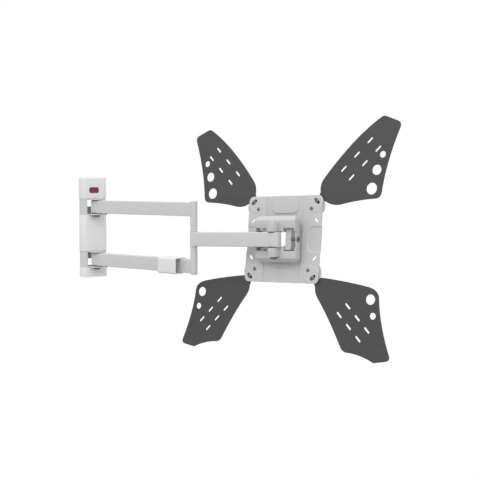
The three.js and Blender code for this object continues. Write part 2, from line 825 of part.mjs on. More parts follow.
// flanged ring riveted to the screen plate; the carrier is held between its flange and the plate
function levelRing() {
	const front = recessBack - plateThick;
	const profile = [
		[levelRingInner, front], [levelRingOuter, front], [levelRingOuter, carrierBack + gap],
		[levelRingOuter + levelRingFlange, carrierBack + gap],
		[levelRingOuter + levelRingFlange, carrierBack + gap + levelRingLip],
		[levelRingInner, carrierBack + gap + levelRingLip], [levelRingInner, front],
	];
	const geometry = new THREE.LatheGeometry(profile.map(([r, y]) => new THREE.Vector2(r, y)), 32);
	geometry.translate(0, 0, plateLift);
	return geometry;
}

const swivelReach = Math.hypot(screenPitch - swivelX, screenPitch - swivelZ);
const swivelDirection = Math.atan2(screenPitch - swivelZ, screenPitch - swivelX);

// arc slot for the corner bolt at the upper right corner
function cornerSlot(front, back) {
	const shape = arcSlotShape(
		swivelX, swivelZ, swivelReach, swivelDirection, radians(swivelRange + swivelSpare),
		swivelBoltRadius + slide,
	);
	return prismThrough(shape, front, back, 2);
}

// copies geometry made for the upper right corner to the corner with the given signs
function toCorner(geometry, signX, signZ) {
	const copy = geometry.clone();
	copy.scale(signX, 1, signZ);
	if (signX * signZ < 0) {
		const index = copy.index ? copy.index.array : null;
		const triangles = index ? index.length / 3 : copy.attributes.position.count / 3;
		const flipped = [];
		for (let i = 0; i < triangles; i++) {
			const corner = k => (index ? index[3 * i + k] : 3 * i + k);
			flipped.push(corner(0), corner(2), corner(1));
		}
		copy.setIndex(flipped);
	}
	return copy;
}

const corners = [
	['top_right', 1, 1], ['top_left', -1, 1], ['bottom_right', 1, -1], ['bottom_left', -1, -1],
];

function screenPlate() {
	const front = plateBack - plateThick;
	const half = plateWidth / 2;
	const section = new THREE.Shape();
	const foot = recessHalfWidth - recessSlope;
	section.moveTo(-half, front);
	section.lineTo(-recessHalfWidth, front);
	section.lineTo(-foot, front - recessDepth);
	section.lineTo(foot, front - recessDepth);
	section.lineTo(recessHalfWidth, front);
	section.lineTo(half, front);
	section.lineTo(half, plateBack);
	section.lineTo(recessHalfWidth, plateBack);
	section.lineTo(foot, recessBack);
	section.lineTo(-foot, recessBack);
	section.lineTo(-recessHalfWidth, plateBack);
	section.lineTo(-half, plateBack);
	section.closePath();
	const pressed = toSolid(prismUp(section, -plateHeight / 2, plateHeight / 2));
	const outline = prismThrough(
		roundedRect(plateWidth, plateHeight, plateCorner), front - recessDepth - over, plateBack + over, 3,
	);
	const through = [front - recessDepth - over, plateBack + over];
	const cuts = [peg(levelRingOuter + slide, ...through, 0, 0, 32)];
	for (const [, signX, signZ] of corners) {
		cuts.push(toCorner(cornerSlot(...through), signX, signZ));
		cuts.push(peg(rivetRadius + slide, ...through, signX * swivelX, signZ * swivelZ, 12));
		const slot = slotPath(
			sideSlotLength, sideSlotWidth, signX * screenPitch, signZ * sideSlotZ,
			signX * signZ * -Math.PI / 4, THREE.Shape,
		);
		cuts.push(prismThrough(slot, ...through, 2));
	}
	let solid = pressed.intersect(toSolid(outline));
	for (const cut of cuts) {
		solid = solid.subtract(toSolid(cut));
	}
	return toGeometry(solid);
}

const discBack = plateBack - plateThick - gap;
const adapterBack = discBack - discThick - gap;
const adapterFront = adapterBack - adapterThick;

function swivelDisc() {
	return combine(prismThrough(roundedDisc(), discBack - discThick, discBack, 14), [], [
		cornerSlot(discBack - discThick - over, discBack + over),
		peg(rivetRadius + slide, discBack - discThick - over, discBack + over, swivelX, swivelZ, 12),
	]);
}

function roundedDisc() {
	const shape = new THREE.Shape();
	shape.absarc(discX, discZ, discRadius, 0, Math.PI * 2, false);
	return shape;
}

// fastener through plate, disc and adapter, along Y: a head behind the plate, a flat nut in front
function cornerFastener(shank, headRadius, x, z) {
	const back = plateBack + gap;
	const front = adapterFront - gap;
	const profile = [
		[0, back + headHeight], [headRadius - headChamfer, back + headHeight], [headRadius, back + headEdge],
		[headRadius, back], [shank, back], [shank, front], [headRadius, front],
		[headRadius, front - headHeight], [0, front - headHeight],
	];
	const geometry = new THREE.LatheGeometry(
		profile.reverse().map(([r, y]) => new THREE.Vector2(r, y)), 12,
	);
	geometry.translate(x, 0, z);
	return geometry;
}

// ---------------------------------------------------------------- adapters

// neck of an adapter behind the screen plate, about the swivel
function neck(shape, fromX, fromZ, toX, toZ) {
	shape.lineTo(fromX, fromZ);
	const turn = discRadius - neckInset;
	const midX = (swivelX + screenPitch) / 2;
	const midZ = Math.sign(fromZ) * (swivelZ + screenPitch) / 2;
	const start = Math.atan2(fromZ - midZ, fromX - midX);
	const end = Math.atan2(toZ - midZ, toX - midX);
	shape.absarc(midX, midZ, turn, start, end, true);
	shape.lineTo(toX, toZ);
}

// upper adapter, right-hand side, in X and Z from the middle of the screen plate
function upperOutline() {
	const shape = new THREE.Shape();
	shape.moveTo(268, 308);
	shape.quadraticCurveTo(276, 314, 285, 310);
	shape.lineTo(316, 297);
	shape.quadraticCurveTo(327, 292, 323, 280);
	shape.quadraticCurveTo(288, 190, 281, 120);
	shape.quadraticCurveTo(279, 104, 264, 103);
	shape.quadraticCurveTo(215, 101, 167, 90.2);
	shape.quadraticCurveTo(143, 86, 124, 97);
	neck(shape, 118, 99, 104, 124);
	shape.quadraticCurveTo(101, 140, 110, 156);
	shape.quadraticCurveTo(192, 260, 268, 308);
	return shape;
}

// lower adapter, right-hand side
function lowerOutline() {
	const shape = new THREE.Shape();
	shape.moveTo(121, -98);
	shape.quadraticCurveTo(190, -104, 250, -115.5);
	shape.quadraticCurveTo(286, -121, 289, -143);
	shape.quadraticCurveTo(293, -205, 324, -282);
	shape.quadraticCurveTo(328, -294, 316, -297);
	shape.lineTo(287, -302);
	shape.quadraticCurveTo(281, -303, 275, -299);
	shape.quadraticCurveTo(240, -284, 205, -283);
	shape.quadraticCurveTo(193, -281, 187, -269);
	shape.quadraticCurveTo(150, -200, 113, -151);
	shape.quadraticCurveTo(104, -138, 104, -124);
	neck(shape, 104, -124, 118, -99);
	return shape;
}

// two rows of three screen slots, stepping along the adapter
function addSlots(shape, x, z, stepX, stepZ, rowX, rowZ) {
	const direction = Math.atan2(stepZ, stepX);
	for (let row = 0; row < 2; row++) {
		for (let step = 0; step < 3; step++) {
			shape.holes.push(slotPath(
				adapterSlotLength, adapterSlotWidth,
				x + stepX * step + rowX * row, z + stepZ * step + rowZ * row, direction,
			));
		}
	}
}

const upperHoles = [[278.6, 214, 8.5], [264.2, 175.6, 13], [252.6, 128.6, 15]];
const lowerHoles = [[266, -148.1, 13], [274.8, -188.6, 8.5]];

function adapter(isUpper) {
	const shape = isUpper ? upperOutline() : lowerOutline();
	for (const [x, z, radius] of isUpper ? upperHoles : lowerHoles) {
		shape.holes.push(circlePath(radius, x, z));
	}
	const side = isUpper ? 1 : -1;
	shape.holes.push(circlePath(swivelBoltRadius + slide, screenPitch, side * screenPitch));
	shape.holes.push(circlePath(rivetRadius + slide, swivelX, side * swivelZ));
	if (isUpper) {
		addSlots(shape, 168.9, 182, 36, 35, 24, -23);
	} else {
		addSlots(shape, 203, -167.5, 28.6, -28.4, -23.5, -23);
	}
	return prismThrough(shape, adapterFront, adapterBack, 3);
}

function tiltingHead() {
	const group = new THREE.Group();
	group.position.y = tiltY;
	group.rotation.x = radians(tiltAngle);
	group.add(piece('tilt_carrier', carrier(), plateSilver()));
	group.add(piece('level_ring', levelRing(), brightSteel()));
	const screen = new THREE.Group();
	screen.position.z = plateLift;
	screen.add(piece('screen_plate', screenPlate(), plateSilver()));
	for (const [name, signX, signZ] of corners) {
		const mirror = geometry => toCorner(geometry, signX, 1);
		screen.add(piece(`swivel_disc_${name}`, toCorner(swivelDisc(), signX, signZ), plateSilver()));
		screen.add(piece(`adapter_${name}`, mirror(adapter(signZ > 0)), charcoalPaint()));
		screen.add(piece(
			`corner_bolt_${name}`,
			cornerFastener(swivelBoltRadius, swivelHeadRadius, signX * screenPitch, signZ * screenPitch),
			brightSteel(),
		));
		screen.add(piece(
			`swivel_rivet_${name}`,
			cornerFastener(rivetRadius, rivetHeadRadius, signX * swivelX, signZ * swivelZ),
			darkSteel(),
		));
	}
	group.add(screen);
	return group;
}

// ---------------------------------------------------------------- assembly

const mount = new THREE.Group();
mount.add(wallBracket(), mainArm());

export default mount;
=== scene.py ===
import json
import math

import bmesh
import bpy
from mathutils import Matrix, Vector


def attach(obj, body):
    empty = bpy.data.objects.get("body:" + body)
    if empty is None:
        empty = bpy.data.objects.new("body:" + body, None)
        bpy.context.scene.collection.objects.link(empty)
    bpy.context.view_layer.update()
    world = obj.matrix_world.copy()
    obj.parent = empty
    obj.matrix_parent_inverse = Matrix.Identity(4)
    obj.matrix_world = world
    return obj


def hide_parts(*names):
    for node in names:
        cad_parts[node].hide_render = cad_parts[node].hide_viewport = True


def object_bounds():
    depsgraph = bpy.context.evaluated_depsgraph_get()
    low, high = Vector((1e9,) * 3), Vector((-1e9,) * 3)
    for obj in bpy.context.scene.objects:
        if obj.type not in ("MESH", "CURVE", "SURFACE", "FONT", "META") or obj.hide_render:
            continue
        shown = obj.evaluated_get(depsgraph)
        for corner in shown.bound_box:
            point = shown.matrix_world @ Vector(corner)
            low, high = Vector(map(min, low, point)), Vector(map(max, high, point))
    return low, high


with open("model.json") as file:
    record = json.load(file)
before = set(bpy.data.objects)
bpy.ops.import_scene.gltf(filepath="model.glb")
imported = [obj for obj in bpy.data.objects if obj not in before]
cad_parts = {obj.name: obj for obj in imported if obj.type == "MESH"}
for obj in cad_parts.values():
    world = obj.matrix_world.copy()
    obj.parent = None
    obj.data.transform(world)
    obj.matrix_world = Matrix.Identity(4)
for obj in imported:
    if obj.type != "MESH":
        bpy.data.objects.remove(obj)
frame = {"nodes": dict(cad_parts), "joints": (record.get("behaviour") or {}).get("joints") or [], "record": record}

# Full-motion television wall mount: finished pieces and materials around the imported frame.
# Pieces are drawn in millimetres in their own local frames, then placed in the frame's metres.

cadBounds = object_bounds()
millimetre = 0.001

record = frame["record"]
joints = {joint["name"]: joint for joint in frame["joints"]}
bodyOf = {node: body for body, nodes in record["behaviour"]["bodies"].items() for node in nodes}
slotOf = {part["node"]: part["material_slot"] for part in record["subparts"]}


def say(stage):
    print("wall mount:", stage)


# local frames, from the joints

def localFrame(origin, x, z):
    across = Vector(x).normalized()
    up = Vector(z).normalized()
    along = up.cross(across)
    turn = Matrix((across, along, up)).transposed().to_4x4()
    return Matrix.Translation(Vector(origin)) @ turn @ Matrix.Scale(millimetre, 4)


slideAxis = Vector(joints["clip_slide"]["axis"])  # from the shoulder to the elbow
panAxis = Vector(joints["head_pan"]["axis"])
tiltAxis = Vector(joints["head_tilt"]["axis"])
facing = Vector(joints["screen_level"]["axis"])  # from the head to the screen
armAcross = slideAxis.cross(Vector((0, 0, 1))) * -1
forearmLength = 266.0
plateLift = 3.0  # middle of the screen plate above the tilt axis

wallPlace = Matrix.Scale(millimetre, 4)
armPlace = localFrame(joints["shoulder_swing"]["pos_m"], armAcross, (0, 0, 1))
elbowPlace = localFrame(joints["elbow_fold"]["pos_m"], armAcross, (0, 0, 1))
panPoint = Vector(joints["head_pan"]["pos_m"])
forearmPlace = localFrame(panPoint + tiltAxis * forearmLength * millimetre, armAcross, panAxis)
headPlace = localFrame(panPoint, tiltAxis, panAxis)
tiltPlace = localFrame(joints["head_tilt"]["pos_m"], tiltAxis, facing.cross(tiltAxis))
screenPlace = tiltPlace @ Matrix.Translation((0, 0, plateLift))

standUp = Matrix.Rotation(math.radians(90), 4, "X")  # outline in X and Z, thickness along -Y
pointAlongY = Matrix.Rotation(math.radians(-90), 4, "X")
pointAlongX = Matrix.Rotation(math.radians(90), 4, "Y")
pointAgainstX = Matrix.Rotation(math.radians(-90), 4, "Y")
upsideDown = Matrix.Rotation(math.pi, 4, "X")
inMetres = Matrix.Identity(4)  # for copies of CAD solids, which are in place already
gap = 0.3  # between pieces that touch


# outlines

def arc(x, y, radius, start, end, steps=12):
    turn = [math.radians(start + (end - start) * i / steps) for i in range(steps + 1)]
    return [(x + radius * math.cos(a), y + radius * math.sin(a)) for a in turn]


def circle(radius, x=0.0, y=0.0, steps=40):
    return arc(x, y, radius, 0, 360, steps)[:-1]


def bend(start, control, end, steps=10):
    points = []
    for i in range(1, steps + 1):
        t = i / steps
        points.append(tuple(
            (1 - t) ** 2 * a + 2 * t * (1 - t) * b + t * t * c
            for a, b, c in zip(start, control, end)))
    return points


def roundedBox(width, height, radius, x=0.0, y=0.0, steps=8):
    right, top = x + width / 2 - radius, y + height / 2 - radius
    left, bottom = x - width / 2 + radius, y - height / 2 + radius
    return (arc(right, bottom, radius, -90, 0, steps) + arc(right, top, radius, 0, 90, steps)
            + arc(left, top, radius, 90, 180, steps) + arc(left, bottom, radius, 180, 270, steps))


def straightSlot(length, width, x, y, degrees):
    radius, half = width / 2, (length - width) / 2
    dx, dy = math.cos(math.radians(degrees)) * half, math.sin(math.radians(degrees)) * half
    return (arc(x + dx, y + dy, radius, degrees - 90, degrees + 90)
            + arc(x - dx, y - dy, radius, degrees + 90, degrees + 270))


def arcSlot(x, y, reach, middle, halfAngle, radius):
    start, end = middle - halfAngle, middle + halfAngle
    tip = arc(x, y, reach, start, end, 1)
    return (arc(x, y, reach + radius, start, end, 10) + arc(*tip[1], radius, end, end + 180)
            + arc(x, y, reach - radius, end, start, 10) + arc(*tip[0], radius, start + 180, start + 360))


def tidied(loop):
    kept = []
    for point in loop:
        if not kept or math.dist(point, kept[-1]) > 1e-3:
            kept.append(point)
    while math.dist(kept[0], kept[-1]) < 1e-3:
        kept.pop()
    return kept


def mirrored(loop):
    return [(-x, y) for x, y in loop]


# meshes in millimetres

def fromBmesh(bm, name="shape"):
    mesh = bpy.data.meshes.new(name)
    bm.to_mesh(mesh)
    bm.free()
    return mesh


def takeResult(obj):
    bpy.context.view_layer.update()
    graph = bpy.context.evaluated_depsgraph_get()
    mesh = bpy.data.meshes.new_from_object(obj.evaluated_get(graph))
    data = obj.data
    bpy.data.objects.remove(obj)
    if data.users == 0:
        (bpy.data.curves if isinstance(data, bpy.types.Curve) else bpy.data.meshes).remove(data)
    return mesh


def shown(data, name="draft"):
    obj = bpy.data.objects.new(name, data)
    bpy.context.scene.collection.objects.link(obj)
    return obj


# upright sheet between two depths; its outline comes first, holes after
def standing(loops, front, back, edge=0.3):
    curve = bpy.data.curves.new("outline", "CURVE")
    curve.dimensions = "2D"
    curve.fill_mode = "BOTH"
    for loop in loops:
        points = tidied(loop)
        spline = curve.splines.new("POLY")
        spline.points.add(len(points) - 1)
        for place, (x, y) in zip(spline.points, points):
            place.co = (x, y, 0, 1)
        spline.use_cyclic_u = True
    curve.extrude = (back - front) / 2 - edge
    curve.bevel_depth = edge
    curve.bevel_resolution = 1
    curve.offset = -edge
    mesh = takeResult(shown(curve))
    mesh.transform(standUp @ Matrix.Translation((0, 0, -(front + back) / 2)))
    return mesh


# turned about Z; a third number in an entry is its size across hexagon flats
def turned(profile, sides=48, closed=False):
    bm = bmesh.new()
    rings = []
    for radius, z, *flats in profile:
        if radius < 1e-6:
            rings.append([bm.verts.new((0, 0, z))])
            continue
        ring = []
        for i in range(sides):
            angle = 2 * math.pi * i / sides
            reach = radius
            if flats:
                reach = min(radius, flats[0] / 2 / math.cos(angle % (math.pi / 3) - math.pi / 6))
            ring.append(bm.verts.new((reach * math.cos(angle), reach * math.sin(angle), z)))
        rings.append(ring)
    following = rings[1:] + ([rings[0]] if closed else [])
    for near, far in zip(rings, following):
        for i in range(sides):
            j = (i + 1) % sides
            if len(near) == 1 and len(far) == 1:
                break
            if len(near) == 1:
                bm.faces.new((near[0], far[i], far[j]))
            elif len(far) == 1:
                bm.faces.new((near[j], near[i], far[0]))
            else:
                bm.faces.new((near[i], near[j], far[j], far[i]))
    return fromBmesh(bm)


def softRing(outer, inner, low, high, edge=0.5, sides=48):
    return turned([
        (inner, low + edge), (inner + edge, low), (outer - edge, low), (outer, low + edge),
        (outer, high - edge), (outer - edge, high), (inner + edge, high), (inner, high - edge),
    ], sides, True)


def softPost(radius, low, high, edge=0.5, sides=48):
    return turned([
        (0, low), (radius - edge, low), (radius - edge * 0.3, low + edge * 0.3), (radius, low + edge),
        (radius, high - edge), (radius - edge * 0.3, high - edge * 0.3), (radius - edge, high), (0, high),
    ], sides)


def moved(mesh, matrix):
    copy = mesh.copy()
    copy.transform(matrix)
    return copy


def joined(*meshes):
    bm = bmesh.new()
    for mesh in meshes:
        bm.from_mesh(mesh)
    return fromBmesh(bm)


def addBoolean(obj, name, operation, tool):
    modifier = obj.modifiers.new(name, "BOOLEAN")
    modifier.operation = operation
    modifier.solver = "EXACT"
    modifier.object = tool


# the mesh less the cutters, all in the same local frame
def carved(mesh, *cutters):
    base = shown(mesh)
    tool = shown(joined(*cutters), "tool")
    for obj in (base, tool):
        bm = bmesh.new()
        bm.from_mesh(obj.data)
        bmesh.ops.remove_doubles(bm, verts=bm.verts, dist=1e-4)
        bmesh.ops.recalc_face_normals(bm, faces=bm.faces)
        bm.to_mesh(obj.data)
        bm.free()
    addBoolean(base, "cut", "DIFFERENCE", tool)
    result = takeResult(base)
    bpy.data.objects.remove(tool)
    return result


# copy of a CAD solid with its edges rounded, already in the frame's metres
def softened(node, width, segments=2, angle=30):
    mesh = frame["nodes"][node].data.copy()
    bm = bmesh.new()
    bm.from_mesh(mesh)
    bmesh.ops.remove_doubles(bm, verts=bm.verts, dist=1e-6)
    bm.to_mesh(mesh)
    bm.free()
    mesh.materials.clear()
    obj = shown(mesh)
    bevel = obj.modifiers.new("edges", "BEVEL")
    bevel.width = width * millimetre
    bevel.segments = segments
    bevel.limit_method = "ANGLE"
    bevel.angle_limit = math.radians(angle)
    bevel.use_clamp_overlap = True
    bevel.miter_outer = "MITER_ARC"
    return takeResult(obj)


# materials

def addNode(tree, kind, **settings):
    node = tree.nodes.new(kind)
    for key, value in settings.items():
        setattr(node, key, value)
    return node


def setInputs(node, values):
    for label, value in values.items():
        node.inputs[label].default_value = value


def mathNode(tree, operation, first, second, clamp=False):
    node = addNode(tree, "ShaderNodeMath", operation=operation, use_clamp=clamp)
    for socket, value in zip(node.inputs, (first, second)):
        if isinstance(value, (int, float)):
            socket.default_value = value
        else:
            tree.links.new(value, socket)
    return node.outputs[0]


def makeGroup(name, inputs, outputs):
    tree = bpy.data.node_groups.new(name, "ShaderNodeTree")
    for label, kind, value in inputs:
        socket = tree.interface.new_socket(name=label, in_out="INPUT", socket_type=kind)
        if value is not None:
            socket.default_value = value
    for label, kind in outputs:
        tree.interface.new_socket(name=label, in_out="OUTPUT", socket_type=kind)
    return tree, addNode(tree, "NodeGroupInput"), addNode(tree, "NodeGroupOutput")


# fine powder or moulding grain, and slow mottling
def grainGroup():
    tree, given, out = makeGroup("surfaceGrain", [
        ("Coordinates", "NodeSocketVector", None),
        ("Scale", "NodeSocketFloat", 1500.0),
        ("Mottle Scale", "NodeSocketFloat", 28.0),
    ], [("Height", "NodeSocketFloat"), ("Mottle", "NodeSocketFloat")])
    fine = addNode(tree, "ShaderNodeTexNoise")
    fine.inputs["Detail"].default_value = 3
    cells = addNode(tree, "ShaderNodeTexVoronoi", feature="SMOOTH_F1")
    slow = addNode(tree, "ShaderNodeTexNoise")
    slow.inputs["Detail"].default_value = 4
    for node in (fine, cells, slow):
        tree.links.new(given.outputs["Coordinates"], node.inputs["Vector"])
    tree.links.new(given.outputs["Scale"], fine.inputs["Scale"])
    tree.links.new(mathNode(tree, "MULTIPLY", given.outputs["Scale"], 0.6), cells.inputs["Scale"])
    tree.links.new(given.outputs["Mottle Scale"], slow.inputs["Scale"])
    pebbles = mathNode(tree, "MULTIPLY", cells.outputs["Distance"], -0.6)
    tree.links.new(mathNode(tree, "ADD", fine.outputs[0], pebbles), out.inputs["Height"])
    tree.links.new(slow.outputs[0], out.inputs["Mottle"])
    return tree


# mask of rubbed edges, broken up by noise
def wearGroup():
    tree, given, out = makeGroup("edgeWear", [
        ("Coordinates", "NodeSocketVector", None),
        ("Amount", "NodeSocketFloat", 0.5),
        ("Break Up", "NodeSocketFloat", 90.0),
    ], [("Mask", "NodeSocketFloat")])
    form = addNode(tree, "ShaderNodeNewGeometry")
    patches = addNode(tree, "ShaderNodeTexNoise")
    tree.links.new(given.outputs["Coordinates"], patches.inputs["Vector"])
    tree.links.new(given.outputs["Break Up"], patches.inputs["Scale"])
    sharp = addNode(tree, "ShaderNodeMapRange")
    setInputs(sharp, {"From Min": 0.52, "From Max": 0.62})
    tree.links.new(form.outputs["Pointiness"], sharp.inputs["Value"])
    broken = mathNode(tree, "MULTIPLY", sharp.outputs[0], patches.outputs[0])
    tree.links.new(mathNode(tree, "MULTIPLY", broken, given.outputs["Amount"], True), out.inputs["Mask"])
    return tree


# mask of settled dust: level faces that look up, in loose patches
def dustGroup():
    tree, given, out = makeGroup("settledDust", [
        ("Coordinates", "NodeSocketVector", None),
        ("Amount", "NodeSocketFloat", 0.2),
    ], [("Mask", "NodeSocketFloat")])
    form = addNode(tree, "ShaderNodeNewGeometry")
    split = addNode(tree, "ShaderNodeSeparateXYZ")
    tree.links.new(form.outputs["Normal"], split.inputs[0])
    patches = addNode(tree, "ShaderNodeTexNoise")
    setInputs(patches, {"Scale": 60, "Detail": 5})
    tree.links.new(given.outputs["Coordinates"], patches.inputs["Vector"])
    level = mathNode(tree, "MULTIPLY", split.outputs["Z"], 1.0, True)
    broken = mathNode(tree, "MULTIPLY", level, patches.outputs[0])
    tree.links.new(mathNode(tree, "MULTIPLY", broken, given.outputs["Amount"], True), out.inputs["Mask"])
    return tree


groups = {"grain": grainGroup(), "wear": wearGroup(), "dust": dustGroup()}


def useGroup(tree, key, coordinates, **values):
    node = addNode(tree, "ShaderNodeGroup", node_tree=groups[key])
    tree.links.new(coordinates, node.inputs["Coordinates"])
    for label, value in values.items():
        node.inputs[label.replace("_", " ")].default_value = value
    return node


def mixColours(tree, factor, first, second):
    node = addNode(tree, "ShaderNodeMix", data_type="RGBA")
    ends = [socket for socket in node.inputs if socket.type == "RGBA"]
    for socket, value in zip(ends, (first, second)):
        if isinstance(value, tuple):
            socket.default_value = (*value, 1)
        else:
            tree.links.new(value, socket)
    tree.links.new(factor, node.inputs["Factor"])
    return next(socket for socket in node.outputs if socket.type == "RGBA")


dustTone = (0.55, 0.53, 0.5)
roughSwing = 0.06  # roughness either side of a finish's own
grainDepth = 0.0002  # in metres


# one named finish: tone with mottling, rubbed edges, dust, and grain as bump
def finish(name, look):
    material = bpy.data.materials.new(name)
    material.use_nodes = True
    tree = material.node_tree
    shader = tree.nodes["Principled BSDF"]
    place = addNode(tree, "ShaderNodeTexCoord").outputs["Object"]
    grain = useGroup(tree, "grain", place, Scale=look["grain"], Mottle_Scale=look["mottle"])
    wear = useGroup(tree, "wear", place, Amount=look["wear"])
    dust = useGroup(tree, "dust", place, Amount=look["dust"])
    deep = tuple(c * look["deep"] for c in look["tone"])
    tone = mixColours(tree, grain.outputs["Mottle"], deep, look["tone"])
    tone = mixColours(tree, wear.outputs["Mask"], tone, look["bare"])
    tone = mixColours(tree, dust.outputs["Mask"], tone, dustTone)
    tree.links.new(tone, shader.inputs["Base Color"])
    spread = addNode(tree, "ShaderNodeMapRange")
    low, high = look["rough"] - roughSwing, look["rough"] + roughSwing
    setInputs(spread, {"From Min": 0.3, "From Max": 0.7, "To Min": low, "To Max": high})
    tree.links.new(grain.outputs["Mottle"], spread.inputs["Value"])
    tree.links.new(spread.outputs[0], shader.inputs["Roughness"])
    coat = look.get("coat", 0.0)
    setInputs(shader, {"Metallic": look["metal"], "Coat Weight": coat, "Coat Roughness": 0.15})
    bump = addNode(tree, "ShaderNodeBump")
    setInputs(bump, {"Strength": look["bump"], "Distance": grainDepth})
    tree.links.new(grain.outputs["Height"], bump.inputs["Height"])
    tree.links.new(bump.outputs["Normal"], shader.inputs["Normal"])
    return material


# bare steel: fine lathe or rolling lines, brighter where rubbed
def brushed(name, look):
    material = finish(name, look)
    tree = material.node_tree
    shader = tree.nodes["Principled BSDF"]
    stretch = addNode(tree, "ShaderNodeMapping")
    setInputs(stretch, {"Scale": look["lines"]})
    lines = addNode(tree, "ShaderNodeTexNoise")
    setInputs(lines, {"Scale": 900, "Detail": 2})
    place = next(node for node in tree.nodes if node.type == "TEX_COORD").outputs["Object"]
    tree.links.new(place, stretch.inputs["Vector"])
    tree.links.new(stretch.outputs[0], lines.inputs["Vector"])
    bump = next(node for node in tree.nodes if node.type == "BUMP")
    tree.links.new(lines.outputs[0], bump.inputs["Height"])
    return material


looks = {
    "silver_paint": {
        "tone": (0.62, 0.62, 0.625), "deep": 0.965, "bare": (0.45, 0.45, 0.46), "rough": 0.5, "metal": 0.0,
        "grain": 1500, "mottle": 26, "bump": 0.25, "wear": 0.5, "dust": 0.12},
    "plate_silver": {
        "tone": (0.54, 0.54, 0.545), "deep": 0.96, "bare": (0.42, 0.42, 0.43), "rough": 0.48, "metal": 0.0,
        "grain": 1500, "mottle": 22, "bump": 0.25, "wear": 0.5, "dust": 0.1},
    "white_plastic": {
        "tone": (0.76, 0.765, 0.77), "deep": 0.985, "bare": (0.8, 0.8, 0.8), "rough": 0.5, "metal": 0.0,
        "grain": 1100, "mottle": 12, "bump": 0.18, "wear": 0.2, "dust": 0.1},
    "clip_plastic": {
        "tone": (0.72, 0.722, 0.72), "deep": 0.985, "bare": (0.78, 0.78, 0.78), "rough": 0.52, "metal": 0.0,
        "grain": 1100, "mottle": 14, "bump": 0.18, "wear": 0.2, "dust": 0.1},
    "charcoal_paint": {
        "tone": (0.05, 0.05, 0.0515), "deep": 0.95, "bare": (0.18, 0.18, 0.18), "rough": 0.62, "metal": 0.0,
        "grain": 1700, "mottle": 18, "bump": 0.18, "wear": 0.45, "dust": 0.05},
    "black_plastic": {
        "tone": (0.022, 0.022, 0.024), "deep": 0.8, "bare": (0.09, 0.09, 0.09), "rough": 0.5, "metal": 0.0,
        "grain": 1300, "mottle": 40, "bump": 0.2, "wear": 0.4, "dust": 0.08},
    "red_enamel": {
        "tone": (0.2, 0.014, 0.028), "deep": 0.8, "bare": (0.34, 0.05, 0.06), "rough": 0.35, "metal": 0.0,
        "grain": 800, "mottle": 90, "bump": 0.05, "wear": 0.3, "dust": 0.03, "coat": 0.2},
}
steels = {
    "bright_steel": {
        "tone": (0.66, 0.665, 0.68), "deep": 0.9, "bare": (0.8, 0.8, 0.8), "rough": 0.32, "metal": 1.0,
        "grain": 1500, "mottle": 60, "bump": 0.25, "wear": 0.4, "dust": 0.05, "lines": (1, 1, 12)},
    "dark_steel": {
        "tone": (0.2, 0.2, 0.21), "deep": 0.8, "bare": (0.5, 0.5, 0.5), "rough": 0.42, "metal": 0.9,
        "grain": 1500, "mottle": 50, "bump": 0.25, "wear": 0.6, "dust": 0.06, "lines": (1, 1, 9)},
}
materials = {name: finish(name, look) for name, look in looks.items()}
materials.update({name: brushed(name, look) for name, look in steels.items()})
say("materials ready")


# pieces

# puts a finished mesh on its body, in place of the CAD nodes it stands for
def addPiece(mesh, place, *nodes, name=None, smooth=20, slot=None):
    first, *others = nodes[0].split("_")
    name = name or first + "".join(word.title() for word in others)
    slot = slot or slotOf[nodes[0]]
    mesh.transform(place)
    bm = bmesh.new()
    bm.from_mesh(mesh)
    bmesh.ops.remove_doubles(bm, verts=bm.verts, dist=2e-6)
    bmesh.ops.dissolve_degenerate(bm, edges=bm.edges, dist=1e-6)
    bmesh.ops.recalc_face_normals(bm, faces=bm.faces)
    for face in bm.faces:
        face.smooth = True
        face.material_index = 0
    bm.to_mesh(mesh)
    bm.free()
    mesh.name = name
    mesh.set_sharp_from_angle(angle=math.radians(smooth))
    mesh.materials.clear()
    mesh.materials.append(materials[slot])
    obj = bpy.data.objects.new(name, mesh)
    bpy.context.scene.collection.objects.link(obj)
    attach(obj, bodyOf[nodes[0]])
    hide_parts(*nodes)
    return obj


# geometry nodes

def geometryTree(name, inputs):
    tree = bpy.data.node_groups.new(name, "GeometryNodeTree")
    tree.interface.new_socket(name="Geometry", in_out="INPUT", socket_type="NodeSocketGeometry")
    keys = {}
    for label, kind in inputs:
        keys[label] = tree.interface.new_socket(name=label, in_out="INPUT", socket_type=kind).identifier
    tree.interface.new_socket(name="Geometry", in_out="OUTPUT", socket_type="NodeSocketGeometry")
    return tree, keys, addNode(tree, "NodeGroupInput"), addNode(tree, "NodeGroupOutput")


# every tree ends the same way: real meshes, then their material
def closeTree(tree, last, given, out):
    real = addNode(tree, "GeometryNodeRealizeInstances")
    paint = addNode(tree, "GeometryNodeSetMaterial")
    tree.links.new(last.outputs[0], real.inputs[0])
    tree.links.new(real.outputs[0], paint.inputs["Geometry"])
    tree.links.new(given.outputs["Finish"], paint.inputs["Material"])
    tree.links.new(paint.outputs[0], out.inputs[0])


